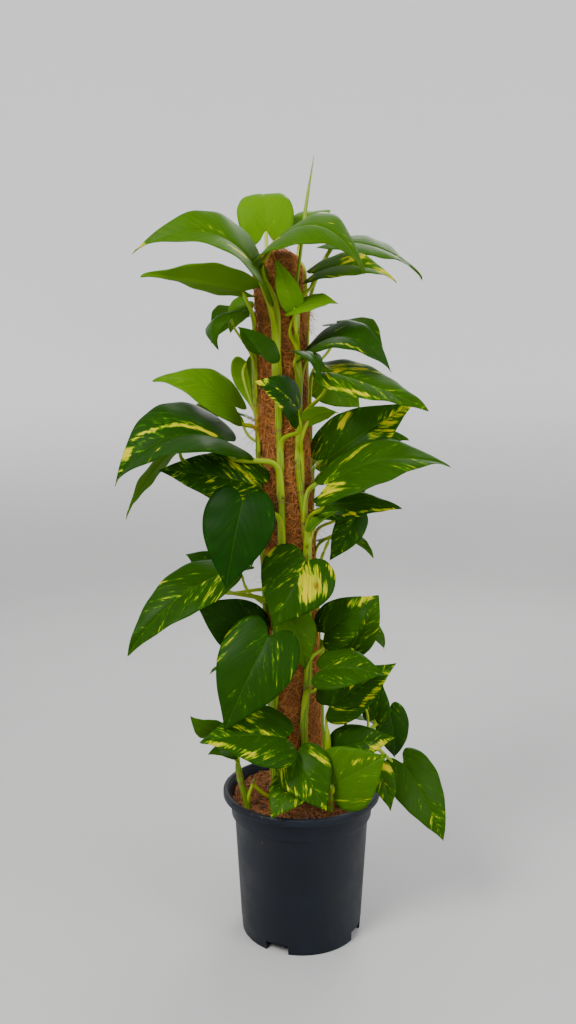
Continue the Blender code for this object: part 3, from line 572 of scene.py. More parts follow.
def add_blade(mesh, leaf, seed):
    joint, length, along, left, up = blade_frame(leaf)
    rows, columns = SMALL_GRID if length < SMALL_BLADE else LARGE_GRID
    stations = np.linspace(0, 1, rows + 1)
    spread = np.linspace(-1, 1, columns + 1)
    across = np.sign(spread) * np.abs(spread) ** 1.2
    x, y = blade_flat(leaf, stations, across)
    rise = blade_rise(leaf, x, y, stations, across, seed)
    turn = radians(leaf.twist) * x
    aside = y * np.cos(turn) - rise * np.sin(turn)
    above = y * np.sin(turn) + rise * np.cos(turn) + leaf.arch * 4 * x * (1 - x)
    grid = joint + length * stacked(x, aside, above) @ np.array((along, left, up))
    normals = grid_normals(grid)
    thin = smooth_step(0.8, 1, np.abs(across))
    thickness = BLADE_THICKNESS + (EDGE_THICKNESS - BLADE_THICKNESS) * thin
    rib = RIB_THICKNESS * bell(y, 0.02) * (1 - 0.8 * x)
    top = grid + normals * (thickness / 2)[..., None]
    under = grid - normals * (thickness / 2 + rib)[..., None]
    place = stacked(vein_place(x, y), y, 3.7 * seed)
    gold, brown = patches(leaf, x, y)
    looks = [stacked(gold, leaf.tone, below, brown) for below in (0.0, 1.0)]
    mesh.add([top, under], blade_faces(rows, columns), [place, place], looks, BLADE_SLOT)


def patches(leaf, x, y):
    """How yellow and how brown each point of a blade is to be."""
    gold, brown = np.full_like(x, leaf.gold), np.zeros_like(x)
    for streak in leaf.streaks:
        way = np.subtract(streak.end, streak.start)
        off = stacked(x, y) - streak.start
        share = np.clip(off @ way / (way @ way), 0, 1)
        distance = np.linalg.norm(off - share[..., None] * way, axis=-1)
        near = np.clip(1.6 - distance / streak.reach, 0, 0.9)
        gold = gold + streak.strength * near
        brown = np.maximum(brown, streak.spot * near)
    return gold, brown


def grid_normals(grid):
    """Normals of a blade's grid. Its first and last rows are single points."""
    normals = np.cross(np.gradient(grid, axis=0), np.gradient(grid, axis=1))
    normals[0] = normals[1].mean(axis=0)
    normals[-1] = normals[-2].mean(axis=0)
    return unit(normals)


def blade_faces(rows, columns):
    """Quads of both faces and of the edge, with triangles at the joint and at the tip."""
    count = (rows + 1) * (columns + 1)
    numbers = np.arange(count).reshape(rows + 1, columns + 1)
    inner = numbers[1:-1]
    top = [
        stacked(inner[:-1, :-1], inner[1:, :-1], inner[1:, 1:], inner[:-1, 1:]).reshape(-1, 4),
        stacked(numbers[0, 0], inner[0, :-1], inner[0, 1:]),
        stacked(inner[-1, :-1], numbers[-1, 0], inner[-1, 1:]),
    ]
    under = [group[:, ::-1] + count for group in top]
    edge = np.concatenate([numbers[:, 0], inner[::-1, -1]])
    after = np.roll(edge, -1)
    return top + under + [stacked(edge, edge + count, after + count, after)]


def add_petiole(mesh, leaf, stem, seed):
    """A flattened stalk with a channel along its upper side, in a sheath at its foot."""
    joint, length, along, _, up = blade_frame(leaf)
    start = stem_at(stem, leaf.node * CM)
    reach = np.linalg.norm(joint - start)
    rise = start + 0.34 * reach * UP + 0.12 * (joint - start)
    bend = joint - reach * (0.22 * UP + 0.10 * along + 0.05 * up)
    end = joint + 0.012 * length * along - 0.0012 * up
    shares = np.linspace(0, 1, PETIOLE_RINGS)
    line = smooth_path([start, rise, bend, end], shares)
    grown = 0.75 + 0.6 * min(length / 0.12, 1.2)
    radii = PETIOLE_RADIUS * grown * read_off(PETIOLE_OUTLINE, shares)
    radii = radii * (1 + 0.18 * bell(shares - 0.92, 0.03)) * (1 - 0.65 * smooth_step(0.96, 1.0, shares))
    angles = circle(PETIOLE_SIDES)
    off_top = np.abs((angles - pi / 2 + pi) % (2 * pi) - pi)
    radii = radii[:, None] * (1 - 0.34 * bell(off_top, 0.55))
    sheath = 1 + 0.45 * (1 - smooth_step(0.1, 0.5, shares))
    middle = line[len(line) // 2]
    outwards = unit(middle - pole_axis(middle[2]))
    facing_up, facing_in = smooth_step(0.4, 1.0, shares), 1 - smooth_step(0.3, 0.9, shares)
    ahead = np.outer(facing_up, up) - np.outer(facing_in, outwards) + 1e-3 * UP
    place = (reach * shares[:, None], np.cos(angles), seed)
    look = (0.75 + 0.25 * (off_top < 0.7), 0.35 + 0.4 * leaf.tone, 0, bell(shares, 0.03)[:, None])
    add_tube(mesh, line, 1.15 * radii * sheath[:, None], 0.85 * radii, ahead, place, look)


def add_stem(mesh, points, nodes, seed):
    """A ridged stem, swollen and ringed with an old scar at each node."""
    rings = max(int((points[-1, 2] - points[0, 2]) / STEM_RING_STEP), 12)
    shares = np.linspace(0, 1, rings)
    line = smooth_path(points, shares)
    heights = line[:, 2]
    off = heights[:, None] - np.array(nodes) * CM
    scar = bell(off + 0.003, 0.0016).max(axis=1)
    radii = STEM_RADIUS + (STEM_TIP_RADIUS - STEM_RADIUS) * shares
    radii = radii * (1 + 0.22 * bell(off, 0.006).sum(axis=1) - 0.10 * scar)
    radii[-3:] *= (0.9, 0.65, 0.3)
    angles = circle(STEM_SIDES)
    ridge = 0.5 + 0.5 * np.cos(RIDGES * angles)
    radii = radii[:, None] * (1 + 0.11 * (ridge - 0.5))
    tone = 0.2 + 0.35 * smooth_step(0.35, 0.75, heights)
    place = (heights[:, None], np.cos(angles), seed)
    look = (0.15 + 0.6 * ridge, tone[:, None], 0, 0.9 * scar[:, None])
    add_tube(mesh, line, radii, radii, ASIDE, place, look)


def add_root(mesh, start, way, length, seed):
    """A short brown aerial root that bends down into the coir."""
    rings, sides = 7, 6
    shares = np.linspace(0, 1, rings)
    line = start + length * (np.outer(shares, way) - 0.35 * np.outer(shares**2, UP))
    radii = ROOT_RADIUS * np.outer(1 - 0.6 * shares, np.ones(sides))
    place = (shares[:, None], np.cos(circle(sides)), seed)
    add_tube(mesh, line, radii, radii, (0.2, 0.1, 0.97), place, (0, 0, 0, 0), ROOT_SLOT)


def add_roots(mesh, points, nodes, name, seed):
    for i, node in enumerate(nodes):
        at = stem_at(points, node * CM - 0.004)
        inwards = unit(pole_axis(at[2]) - at) if name in CLIMBS else -UP
        sideways = np.cross(inwards, UP)
        for way in (-1, 1):
            turn = DICE.uniform(0.5, 1.3)
            direction = unit(0.8 * inwards + way * turn * sideways - 0.1 * UP)
            length = DICE.uniform(0.006, 0.016)
            add_root(mesh, at + 0.002 * direction, direction, length, seed + i)


def add_spear(mesh, route, seed):
    """A leaf still rolled up, with the seam of its roll winding up it."""
    rings, sides, winding = 40, 12, 5
    shares = np.linspace(0, 1, rings)
    line = smooth_path(route, shares) * CM
    seam = ((circle(sides) - winding * shares[:, None]) % (2 * pi)) / (2 * pi)
    radii = SPEAR_RADIUS * read_off(SPEAR_OUTLINE, shares)[:, None] * (0.86 + 0.28 * seam)
    add_tube(mesh, line, radii, radii, ASIDE, (shares[:, None], seam, seed), (0.5, 0.45, 0, 0))


def add_stub(mesh, route, seed):
    """What is left of an old stalk that was cut off, dried brown at its end."""
    rings = 14
    shares = np.linspace(0, 1, rings)
    line = smooth_path(route, shares) * CM
    angles = circle(PETIOLE_SIDES)
    radii = STUB_RADIUS * (1.15 - 0.4 * shares[:, None]) * (1 + 0.06 * np.cos(5 * angles))
    dry = smooth_step(0.86, 1.0, shares)[:, None]
    place = (shares[:, None], np.cos(angles), seed)
    add_tube(mesh, line, radii, radii, ASIDE, place, (0.8, 0.7, 0, dry))


def make_vine(name, seed, materials):
    points = stem_points(name)
    mesh = Mesh()
    nodes = [leaf.node for leaf in LEAVES[name]]
    add_stem(mesh, points, nodes, seed)
    add_roots(mesh, points, nodes, name, seed)
    for i, leaf in enumerate(LEAVES[name]):
        add_petiole(mesh, leaf, points, seed + i)
        add_blade(mesh, leaf, seed + i)
    if name in SPEARS:
        add_spear(mesh, SPEARS[name], seed)
    for route in STUBS.get(name, ()):
        add_stub(mesh, route, seed)
    vine = mesh.build(f"{name}_fine", materials)
    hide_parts(name)
    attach(vine, "root")


def add_fibres(mesh, lines, outs, radii, shades):
    """Three-sided tubes along many lines of the same number of points."""
    count, steps, _ = lines.shape
    tangents = unit(np.gradient(lines, axis=1))
    side = unit(np.cross(tangents, np.broadcast_to(outs, lines.shape) + 1e-6))
    over = np.cross(side, tangents)
    taper = np.concatenate([[0.5], np.ones(steps - 2), [0.25]])
    width = (radii[:, None] * taper)[..., None]
    rings = np.stack([lines + width * (cos(a) * side + sin(a) * over) for a in circle(3)], axis=2)
    jump = np.arange(count)[:, None, None] * steps * 3
    faces = [(np.array(group) + jump).reshape(-1, np.shape(group)[1]) for group in tube_faces(steps, 3)]
    look = np.zeros((*rings.shape[:3], 4))
    look[..., 0] = shades[:, None, None]
    mesh.add(rings, faces, look=look)


def add_hairs(mesh, starts, ways, outs, hair, widest=1.0):
    """Loose hairs. Each runs one way, wavers across it and lifts along outs.

    Those that reach further than widest from the pot's axis are left out.
    """
    shape = (hair.count, 1, 1)
    length, curl = DICE.uniform(*hair.length, shape), DICE.uniform(*hair.curl, shape)
    lift = DICE.uniform(*hair.lift, shape)
    phase, waves = DICE.uniform(0, 2 * pi, shape), DICE.uniform(0.5, 1.6, shape)
    t = np.linspace(0, 1, hair.segments + 1)[:, None]
    wobble = curl * (np.sin(2 * pi * waves * t + phase) - np.sin(phase))
    across = np.cross(outs, ways)[:, None]
    bent = t * ways[:, None] + wobble * across + lift * t**2 * outs[:, None]
    lines = starts[:, None] + length * bent
    radii = DICE.uniform(*hair.radius, hair.count)
    kept = np.hypot(lines[..., 0], lines[..., 1]).max(axis=1) < widest
    shades = DICE.uniform(*hair.shade, kept.sum())
    add_fibres(mesh, lines[kept], outs[kept][:, None], radii[kept], shades)


def sleeve_reach(height):
    """The sleeve's radius at a height: it closes in a dome at its top."""
    over = np.clip((height - (SLEEVE_TOP - SLEEVE_DOME)) / SLEEVE_DOME, 0, 0.97)
    return SLEEVE_RADIUS * np.sqrt(1 - over**2) - 0.0006


def add_mat(mesh, low, high):
    """The hairs that lie matted round the sleeve, slanting every way."""
    shape = (MATTED_HAIRS, 1)
    t = np.linspace(0, 1, 7)
    azimuth, height = DICE.uniform(0, 2 * pi, shape), DICE.uniform(low, high, shape)
    slant = DICE.normal(0.35, 0.55, shape) * DICE.choice((-1, 1), shape)
    length = DICE.uniform(0.012, 0.045, shape)
    angle = slant + DICE.normal(0, 2.4, shape) * (t - 0.5)
    along = length * (t - 0.5)
    a = azimuth + along * np.cos(angle) / SLEEVE_RADIUS
    ripple = 0.05 * length * np.sin(2 * pi * DICE.uniform(0.6, 1.6, shape) * t + azimuth * 9)
    h = np.clip(height + along * np.sin(angle) + ripple, SOIL_LEVEL - 0.004, None)
    depth = DICE.uniform(-0.0008, 0.0024, shape)
    arch = DICE.uniform(0, 0.0018, shape) * np.sin(pi * t)
    lines, outs = round_pole(a, h, sleeve_reach(h) + depth + arch)
    radii = 0.00016 + 0.00042 * DICE.random(MATTED_HAIRS) ** 2
    add_fibres(mesh, lines, outs, radii, DICE.random(MATTED_HAIRS))


def add_strays(mesh, low, high):
    """Loose hairs that curl off the pole."""
    azimuth = DICE.uniform(0, 2 * pi, STRAY.count)
    height = DICE.uniform(low, high - 0.01, STRAY.count)
    starts, outs = round_pole(azimuth, height, SLEEVE_RADIUS - 0.001)
    turn = DICE.uniform(-1.2, 1.2, STRAY.count)[:, None]
    ways = unit(np.cos(turn) * np.cross(UP, outs) + np.sin(turn) * UP + 0.5 * outs)
    add_hairs(mesh, starts, ways, outs, STRAY)


def add_tuft(mesh, azimuth, height):
    """A tuft of the sleeve's fibre that has worked loose and hangs off to one side."""
    azimuths = radians(azimuth) + DICE.normal(0, 0.16, TUFT.count)
    heights = height + DICE.normal(0, 0.009, TUFT.count)
    starts, outs = round_pole(azimuths, heights, SLEEVE_RADIUS - 0.001)
    ways = outs * DICE.uniform(0.2, 0.9, (TUFT.count, 1)) - 0.55 * UP
    ways = unit(ways + DICE.normal(0, 0.35, (TUFT.count, 3)))
    add_hairs(mesh, starts, ways, outs, TUFT)


@np.vectorize
def bumps(x, y, z):
    """Smooth noise round 0."""
    return noise.noise(Vector((x, y, z)))


def make_sleeve(material):
    """The coir wrap: a lumpy core, painted dark as painted shade between the hairs and darkest in its
    hollows, then hairs that lie on it and stray from it.
    """
    heights = np.linspace(SLEEVE_BOTTOM, SLEEVE_TOP - SLEEVE_DOME, SLEEVE_RINGS)
    dome = SLEEVE_TOP - SLEEVE_DOME * (1 - np.sin(np.linspace(0.08, 1.5, DOME_RINGS)))
    h, a = np.meshgrid(np.concatenate([heights, dome]), circle(SLEEVE_SIDES), indexing="ij")
    lumps = 0.8 * bumps(2.2 * np.sin(a), 2.2 * np.cos(a), 90 * h)
    lumps += 0.5 * bumps(9 * np.sin(a), 9 * np.cos(a), 340 * h)
    reach = sleeve_reach(h) - 0.0008 + PILE * lumps * (h < SLEEVE_TOP - 0.002)
    mesh = Mesh()
    points, _ = round_pole(a, h, reach)
    # Painted shade: the core is coloured dark, for the shade between the hairs, and darker still in its
    # hollows.
    mesh.add(points, tube_faces(*h.shape), look=stacked(0.12 + 0.3 * lumps, 0, 0, 0))
    core = own(mesh.build("coir_core", [material]))
    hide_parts("pole_coir")
    for name, (low, high) in COIR_SPANS.items():
        mesh = Mesh()
        add_mat(mesh, low, high)
        add_strays(mesh, low, high)
        for azimuth, height in TUFTS:
            if low < height <= high:
                add_tuft(mesh, azimuth, height)
        own(mesh.build(name, [material]))


def on_soil(radius, azimuth):
    """Points on the soil's surface, which is mounded to the middle and rough with crumbs."""
    points = round_axis(radius, azimuth, SOIL_LEVEL)
    x, y, _ = np.moveaxis(points, -1, 0)
    heap = FRONT_HEAP * smooth_step(0.04, 0.08, -y) * smooth_step(0.04, 0.075, radius)
    rough = 0.0034 * bumps(60 * x, 60 * y, 1.3) + 0.0024 * bumps(190 * x, 190 * y, 4.1)
    points[..., 2] += SOIL_MOUND * (1 - smooth_step(0.02, 0.085, radius)) + heap + rough
    return points


def soil_side():
    """Radius and height down the side of the soil, from its surface to the pot's floor."""
    apart = WALL + SEAT_GAP
    return (
        (NECK_RADIUS - apart, SOIL_LEVEL - 0.004),
        (COLLAR_RADIUS - apart, COLLAR_HEIGHT + COLLAR_STEP),
        (WAIST_RADIUS - apart, COLLAR_HEIGHT),
        (FOOT_RADIUS - apart, POCKET_HEIGHT + apart),
        (POCKET_INNER_RADIUS - apart, POCKET_HEIGHT + apart),
        (POCKET_INNER_RADIUS - apart, FLOOR + SEAT_GAP),
    )


def make_soil(material):
    radii = np.linspace(0.0005, NECK_RADIUS - WALL - SEAT_GAP, SOIL_RINGS)
    top = on_soil(radii[:, None], circle(SOIL_SIDES))
    points = np.concatenate([top, lathe(soil_side(), SOIL_SIDES)])
    mesh = Mesh()
    mesh.add(points, flipped(tube_faces(*points.shape[:2])), look=(0.35, 0, 0, 0))
    soil = own(mesh.build("soil_mix", [material]))
    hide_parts("soil")


def soil_spots(count):
    """Random places on the soil, clear of the pole."""
    radius = np.sqrt(DICE.uniform((SLEEVE_RADIUS / RIM_RADIUS) ** 2, 0.80, count)) * RIM_RADIUS
    return on_soil(radius, DICE.uniform(0, 2 * pi, count))


def rim_spots(count):
    """Random places on the pot's outer side, most of them close under its rim."""
    radii, heights = np.array(pot_outside()).T
    height = POT_HEIGHT - 0.001 - 0.15 * DICE.random(count) ** 5
    radius = np.interp(height, heights, radii) + 0.0001
    return round_axis(radius, DICE.uniform(0, 2 * pi, count), height)


def add_chips(mesh, spots, largest):
    """A rough chip of bark or coir at each spot."""
    for spot in spots:
        flat = np.array((1, DICE.uniform(0.5, 1), DICE.uniform(0.3, 0.7)))
        size = largest * DICE.uniform(0.25, 1)
        corners = BOX_CORNERS * flat * size * DICE.uniform(0.6, 1.1, (8, 3))
        turn, _ = np.linalg.qr(DICE.normal(size=(3, 3)))
        turn *= np.sign(np.linalg.det(turn))
        mesh.add(corners @ turn.T + spot, BOX_FACES, look=(DICE.random(), 0, 0, 0))


def make_crumbs(soil_material, coir_material):
    """Bark chips and fine coir hairs on the soil, and crumbs that stick to the pot."""
    mesh = Mesh()
    add_chips(mesh, soil_spots(CHIPS), CHIP_SIZE)
    add_chips(mesh, rim_spots(RIM_CRUMBS), RIM_CRUMB_SIZE)
    chips = own(mesh.build("soil_chips", [soil_material]))
    chips.data.shade_flat()
    mesh = Mesh()
    turn = DICE.uniform(0, 2 * pi, SOIL_HAIR.count)
    ways = stacked(np.cos(turn), np.sin(turn), DICE.uniform(-0.05, 0.25, SOIL_HAIR.count))
    starts = soil_spots(SOIL_HAIR.count) * (0.9, 0.9, 1) + 0.0003 * UP
    outs = np.tile(UP, (SOIL_HAIR.count, 1))
    add_hairs(mesh, starts, ways, outs, SOIL_HAIR, NECK_RADIUS - WALL - 0.001)
    own(mesh.build("soil_hairs", [coir_material]))


def arc(centre, radius, start, end, steps=5):
    """Points of an arc in a profile, by angles in degrees from outwards, turning up."""
    turns = np.radians(np.linspace(start, end, steps))
    return [(centre[0] + radius * cos(a), centre[1] + radius * sin(a)) for a in turns]


def pot_outside():
    """Radius and height of the pot's outer side, from the foot up, with its edges rounded."""
    lip = RIM_WIDTH / 2
    return [
        *arc((FOOT_RADIUS - ROUNDING, ROUNDING), ROUNDING, -90, -5),
        (FOOT_RADIUS + 0.0007, 0.0150),
        (FOOT_RADIUS + 0.0012, 0.0158),
        (WAIST_RADIUS, COLLAR_HEIGHT - 0.0008),
        (WAIST_RADIUS + 0.0006, COLLAR_HEIGHT),
        (COLLAR_RADIUS - 0.0006, COLLAR_HEIGHT + COLLAR_STEP - 0.0004),
        (COLLAR_RADIUS, COLLAR_HEIGHT + COLLAR_STEP + 0.0006),
        (NECK_RADIUS, POT_HEIGHT - RIM_DEPTH - COLLAR_STEP / 4),
        *arc((RIM_RADIUS - ROUNDING, POT_HEIGHT - RIM_DEPTH + ROUNDING), ROUNDING, -90, 0),
        *arc((RIM_RADIUS - lip, POT_HEIGHT - lip), lip, 0, 90, 7),
        (RIM_RADIUS - RIM_WIDTH + 0.0006, POT_HEIGHT - 0.0004),
    ]


def pot_inside():
    return [
        (FOOT_RADIUS - WALL - 2 * ROUNDING, FLOOR),
        (FOOT_RADIUS - WALL, FLOOR + 2 * ROUNDING),
        (WAIST_RADIUS - WALL, COLLAR_HEIGHT),
        (COLLAR_RADIUS - WALL, COLLAR_HEIGHT + COLLAR_STEP),
        (NECK_RADIUS - WALL, POT_HEIGHT - RIM_DEPTH),
        (RIM_RADIUS - RIM_WIDTH - WALL, POT_HEIGHT - COLLAR_STEP),
        (RIM_RADIUS - RIM_WIDTH, POT_HEIGHT + 0.0001),
    ]


def lathe(profile, sides):
    """Rings of points, one for each radius and height of a profile."""
    radii, heights = np.array(profile).T[..., None]
    return round_axis(radii, circle(sides), heights)


def turned(name, profile, sides):
    """A closed turned solid with flat ends. Its profile runs from the bottom up."""
    mesh = Mesh()
    mesh.add(lathe(profile, sides), tube_faces(len(profile), sides))
    return mesh.build(name, [])


def pocket_box(azimuth, grown):
    """The room of one drainage pocket, made larger on its inner sides."""
    half = POCKET_WIDTH / 2 + grown
    low = (POCKET_INNER_RADIUS - grown, -half, -FLOOR)
    high = (RIM_RADIUS, half, POCKET_HEIGHT + grown)
    turn = np.array((compass(azimuth, 0), compass(azimuth + 90, 0), UP))
    mesh = Mesh()
    mesh.add(np.where(BOX_CORNERS > 0, high, low) @ turn, BOX_FACES)
    return mesh.build("pocket", [])


def drain_cutter(azimuth):
    middle = compass(azimuth, 0) * (POCKET_INNER_RADIUS + DRAIN_RADIUS)
    low, high = POCKET_HEIGHT - 2 * WALL, POCKET_HEIGHT + 2 * WALL
    cutter = turned("drain", [(DRAIN_RADIUS, low), (DRAIN_RADIUS, high)], 24)
    cutter.data.transform(Matrix.Translation(middle))
    return cutter


def cut(target, cutter):
    """Cuts one object out of another, and removes the cutter."""
    modifier = target.modifiers.new("cut", "BOOLEAN")
    modifier.operation = "DIFFERENCE"
    modifier.object = cutter
    modifier.solver = "EXACT"
    graph = bpy.context.evaluated_depsgraph_get()
    made = bpy.data.meshes.new_from_object(target.evaluated_get(graph))
    target.modifiers.clear()
    target.data = made
    bpy.data.objects.remove(cutter)


def make_pot(material):
    pot = turned("pot_shell", pot_outside(), POT_SIDES)
    room = turned("room", pot_inside(), POT_SIDES)
    for azimuth in POCKET_AZIMUTHS:
        cut(room, pocket_box(azimuth, WALL))
    cut(pot, room)
    for azimuth in POCKET_AZIMUTHS:
        cut(pot, pocket_box(azimuth, 0.0))
        cut(pot, drain_cutter(azimuth))
    dress(pot, material)
    pot.data.shade_smooth()
    pot.data.set_sharp_from_angle(angle=radians(POT_SHARP_ANGLE))
    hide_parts("pot")
    own(pot)


def dress(obj, material):
    """Gives an object one material in place of those that it has."""
    obj.data.materials.clear()
    obj.data.materials.append(material)


class Shader:
    """A material in the making: short names for the nodes that its patterns are wired from."""

    def __init__(self, name):
        self.material = bpy.data.materials.new(name)
        self.material.use_nodes = True
        self.tree = self.material.node_tree

    def feed(self, socket, value):
        """Links a socket to another node's output, or sets it to a number, a vector or a colour."""
        if isinstance(value, bpy.types.NodeSocket):
            self.tree.links.new(value, socket)
        elif socket.type == "RGBA":
            socket.default_value = (*value, 1.0)
        else:
            socket.default_value = value

    def add(self, kind, inputs, output=0, **settings):
        """A new node's output. inputs and output go by the sockets' numbers or names."""
        node = self.tree.nodes.new(kind)
        for key, value in settings.items():
            setattr(node, key, value)
        for key, value in inputs.items():
            self.feed(node.inputs[key], value)
        return node.outputs[output]

    def shade(self, **inputs):
        principled = self.tree.nodes["Principled BSDF"]
        for key, value in inputs.items():
            self.feed(principled.inputs[key.replace("_", " ")], value)
        return self.material

    def attribute(self, name, output):
        return self.add("ShaderNodeAttribute", {}, output, attribute_name=name)

    def where(self):
        return self.add("ShaderNodeTexCoord", {}, "Object")

    def parts(self, vector):
        return self.add("ShaderNodeSeparateXYZ", {0: vector}).node.outputs

    def stretch(self, vector, *scales):
        return self.add("ShaderNodeVectorMath", {0: vector, 1: scales}, operation="MULTIPLY")

    def maths(self, operation, a, b=0.0):
        return self.add("ShaderNodeMath", {0: a, 1: b}, operation=operation)

    def total(self, *terms, start=0.0):
        """The sum of values, each times its weight, and of start."""
        for value, weight in terms:
            inputs = {0: value, 1: weight, 2: start}
            start = self.add("ShaderNodeMath", inputs, operation="MULTIPLY_ADD")
        return start

    def steps(self, value, low, high, start=0.0, end=1.0):
        """value mapped smoothly from the span low to high onto the span start to end."""
        inputs = {"Value": value, "From Min": low, "From Max": high, "To Min": start, "To Max": end}
        return self.add("ShaderNodeMapRange", inputs, interpolation_type="SMOOTHSTEP")

    def grain(self, vector, scale, detail=3.0, roughness=0.55, distortion=0.0):
        inputs = {
            "Vector": vector, "Scale": scale, "Detail": detail,
            "Roughness": roughness, "Distortion": distortion,
        }
        return self.add("ShaderNodeTexNoise", inputs)

    def mix(self, factor, first, second):
        return self.add("ShaderNodeMix", {0: factor, 6: first, 7: second}, 2, data_type="RGBA")

    def bump(self, height, distance, strength=1.0):
        inputs = {"Height": height, "Distance": distance, "Strength": strength}
        return self.add("ShaderNodeBump", inputs)


def blade_material():
    """Deep green, splashed with yellow along the side veins, paler and duller below."""
    s = Shader("pothos_blade")
    q, y, seed = s.parts(s.attribute("place", "Vector"))
    gold, tone, below = s.parts(s.attribute("look", "Color"))
    brown = s.attribute("look", "Alpha")
    half = s.total((s.maths("GREATER_THAN", y, 0.0), 5.3), start=seed)
    at = s.add("ShaderNodeCombineXYZ", {0: q, 1: y, 2: half})
    wide_place = s.stretch(at, 3.4, 3.4, 1.0)
    long_grain = s.grain(s.stretch(at, 12.0, 4.0, 1.0), 1.0, 5.0, 0.66, 0.7)
    fine_grain = s.grain(s.stretch(at, 62.0, 20.0, 1.0), 1.0, 3.0, 0.6)
    wide_grain = s.grain(wide_place, 1.0, 2.0)
    blot_grain = s.grain(wide_place, 3.2, 3.0, 0.6, 0.6)
    mottle = s.total((long_grain, 0.50), (fine_grain, 0.32), (blot_grain, 0.40))
    most = s.total((gold, 0.34), (wide_grain, 0.30), (mottle, 1.0), start=-0.95)
    halo = s.steps(most, -0.07, 0.0)
    yellow = s.steps(most, -0.012, 0.014)
    bright = s.steps(most, 0.0, 0.07)

    old = s.mix(long_grain, (0.0, 0.0085, 0.0), (0.0015, 0.038, 0.0))
    young = s.mix(long_grain, (0.065, 0.19, 0.0), (0.14, 0.29, 0.0))
    pale = s.mix(tone, (0.032, 0.13, 0.0), (0.18, 0.31, 0.0))
    fresh = s.mix(s.steps(fine_grain, 0.30, 0.56), (0.11, 0.24, 0.0), (0.25, 0.34, 0.0))
    sunny = s.mix(s.steps(long_grain, 0.34, 0.62), (0.28, 0.33, 0.0), (0.56, 0.45, 0.0))
    veins = s.maths("COSINE", s.maths("MULTIPLY", q, 2 * pi * VEINS))
    vein_line = s.maths("MULTIPLY", s.steps(veins, 0.5, 1.0, 0.0, 0.30), tone)
    rib = s.steps(s.maths("ABSOLUTE", y), 0.002, 0.008, 0.30, 0.0)
    colour = s.mix(halo, s.mix(tone, old, young), pale)
    colour = s.mix(yellow, colour, s.mix(bright, fresh, sunny))
    colour = s.mix(s.maths("MAXIMUM", vein_line, rib), colour, pale)
    dull = s.mix(tone, (0.030, 0.11, 0.004), (0.14, 0.28, 0.004))
    underside = s.mix(s.maths("MULTIPLY", yellow, 0.6), dull, (0.34, 0.40, 0.012))
    underside = s.mix(rib, underside, (0.14, 0.26, 0.012))
    colour = s.mix(below, colour, underside)
    colour = s.mix(brown, colour, (0.10, 0.035, 0.008))

    roughness = s.total((below, 0.22), start=s.steps(wide_grain, 0.3, 0.7, 0.38, 0.54))
    relief = s.total((veins, -0.2), (fine_grain, 0.5))
    return s.shade(
        Base_Color=colour, Roughness=roughness, Normal=s.bump(relief, 0.0003, 0.35),
        Specular_IOR_Level=0.06, Subsurface_Weight=0.12,
        Subsurface_Radius=(0.5, 1.0, 0.05), Subsurface_Scale=0.0020,
    )


def stem_material():
    """Green stems with pale ridges, brown at their old scars."""
    s = Shader("pothos_stem")
    ridge, tone, _ = s.parts(s.attribute("look", "Color"))
    grain = s.grain(s.stretch(s.attribute("place", "Vector"), 260.0, 2.0, 1.0), 1.0)
    low = s.mix(tone, (0.012, 0.060, 0.0), (0.08, 0.20, 0.0))
    high = s.mix(tone, (0.17, 0.30, 0.001), (0.44, 0.52, 0.004))
    colour = s.mix(ridge, low, high)
    colour = s.mix(s.steps(grain, 0.60, 0.72, 0.0, 0.35), colour, (0.30, 0.40, 0.07))
    colour = s.mix(s.attribute("look", "Alpha"), colour, (0.16, 0.085, 0.028))
    return s.shade(
        Base_Color=colour, Roughness=s.steps(grain, 0.3, 0.7, 0.30, 0.46), Specular_IOR_Level=0.25,
        Normal=s.bump(grain, 0.0003, 0.6),
    )


def root_material():
    s = Shader("aerial_root")
    grain = s.grain(s.attribute("place", "Vector"), 9.0, 4.0)
    colour = s.mix(grain, (0.075, 0.032, 0.012), (0.30, 0.17, 0.07))
    return s.shade(Base_Color=colour, Roughness=0.75, Normal=s.bump(grain, 0.0004))


def coir_material():
    """Brown coconut fibre, every hair a shade of its own."""
    s = Shader("coir_fibre")
    shade = s.parts(s.attribute("look", "Color"))[0]
    where = s.where()
    blotch = s.grain(where, 34.0)
    fine = s.grain(where, 900.0, 3.0, 0.7)
    dark = s.mix(blotch, (0.040, 0.010, 0.001), (0.13, 0.034, 0.004))
    light = s.mix(blotch, (0.60, 0.175, 0.020), (0.68, 0.31, 0.062))
    # Hairs take shades from dark to light at random; the sleeve's core takes the dark end, as painted shade
    # between the hairs.
    colour = s.mix(s.total((shade, 0.95), (fine, 0.24)), dark, light)
    return s.shade(Base_Color=colour, Roughness=0.8, Normal=s.bump(fine, 0.0006, 0.8))


def soil_material():
    """Red-brown crumbly coir mix."""
    s = Shader("coir_soil")
    shade = s.parts(s.attribute("look", "Color"))[0]
    where = s.where()
    blotch = s.grain(where, 120.0, 4.0, 0.65)
    fine = s.grain(where, 700.0, 3.0, 0.7)
    tint = s.steps(s.total((blotch, 0.9), (shade, 0.35)), 0.35, 0.9)
    colour = s.mix(tint, (0.016, 0.005, 0.0015), (0.28, 0.095, 0.022))
    relief = s.total((fine, 0.4), start=blotch)
    return s.shade(Base_Color=colour, Roughness=0.92, Normal=s.bump(relief, 0.0015, 0.9))


def pot_material():
    """Slate-coloured plastic, with a faint grain and the dust of long use."""
    s = Shader("nursery_pot_plastic")
    where = s.where()
    dust = s.grain(where, 24.0, 5.0, 0.6)
    fine = s.grain(where, 1400.0, 2.0)
    colour = s.mix(s.steps(dust, 0.35, 0.75), (0.0020, 0.0040, 0.0085), (0.0055, 0.0090, 0.0165))
    return s.shade(
        Base_Color=colour, Roughness=s.steps(dust, 0.3, 0.75, 0.42, 0.58), Specular_IOR_Level=0.22,
        Normal=s.bump(fine, 0.0001, 0.5),
    )


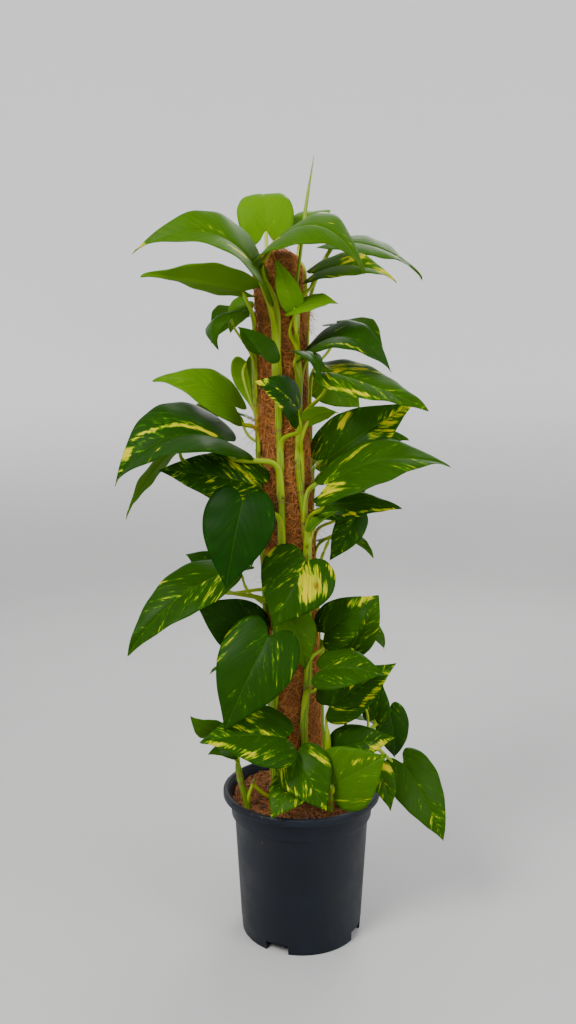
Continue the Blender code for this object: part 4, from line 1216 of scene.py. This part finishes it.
def stake_material():
    s = Shader("stake_wood")
    grain = s.grain(s.stretch(s.where(), 1.0, 1.0, 0.06), 260.0, 4.0)
    colour = s.mix(grain, (0.16, 0.085, 0.036), (0.40, 0.25, 0.12))
    return s.shade(Base_Color=colour, Roughness=0.7, Normal=s.bump(grain, 0.0008))


def floor_material():
    s = Shader("studio_floor")
    where = s.where()
    colour = s.mix(s.grain(where, 3.0), (0.44, 0.44, 0.435), (0.48, 0.48, 0.475))
    colour = s.mix(s.steps(s.parts(where)[2], 0.0, 0.8), colour, (0.89, 0.89, 0.905))
    return s.shade(Base_Color=colour, Roughness=0.85)


def make_floor():
    """A plain pale bowl of a floor, that rises to a wall all round, beyond every camera."""
    profile = [(0.02, 0.0), (STUDIO_REACH / 2, 0.0), (STUDIO_REACH, 0.0)]
    profile += arc((STUDIO_REACH, STUDIO_BEND), STUDIO_BEND, -80, 0, 9)
    profile += [(STUDIO_REACH + STUDIO_BEND, STUDIO_TOP)]
    faces = flipped(tube_faces(len(profile), STUDIO_SIDES))
    mesh = Mesh()
    mesh.add(lathe(profile, STUDIO_SIDES), faces[:-1])
    floor = mesh.build("studio_floor", [floor_material()])


def make_lights():
    for name, (place, size, watts, colour) in LIGHTS.items():
        data = bpy.data.lights.new(name, "AREA")
        data.shape = "DISK"
        data.size, data.energy, data.color = size, watts, colour
        light = bpy.data.objects.new(name, data)
        light.location = place
        aim = Vector(LIGHT_AIM) - Vector(place)
        light.rotation_euler = aim.to_track_quat("-Z", "Y").to_euler()
        light.visible_camera = False
        bpy.context.scene.collection.objects.link(light)
    world = bpy.data.worlds.new("studio")
    world.use_nodes = True
    background = world.node_tree.nodes["Background"]
    background.inputs["Color"].default_value = SKY_COLOUR
    background.inputs["Strength"].default_value = SKY_STRENGTH
    bpy.context.scene.world = world


def make_camera():
    data = bpy.data.cameras.new("camera")
    data.lens, data.sensor_width = CAMERA_LENS, SENSOR_WIDTH
    camera = bpy.data.objects.new("camera", data)
    camera.location = CAMERA_PLACE
    camera.rotation_euler = (radians(90 - CAMERA_PITCH), 0.0, 0.0)
    bpy.context.scene.collection.objects.link(camera)
    bpy.context.scene.camera = camera


def main():
    foliage = [blade_material(), stem_material(), root_material()]
    for i, name in enumerate(LEAVES):
        make_vine(name, 20 * i + 1, foliage)
    coir, soil = coir_material(), soil_material()
    make_sleeve(coir)
    make_soil(soil)
    make_crumbs(soil, coir)
    make_pot(pot_material())
    dress(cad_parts["pole_stake"], stake_material())
    make_floor()
    make_lights()
    make_camera()


main()
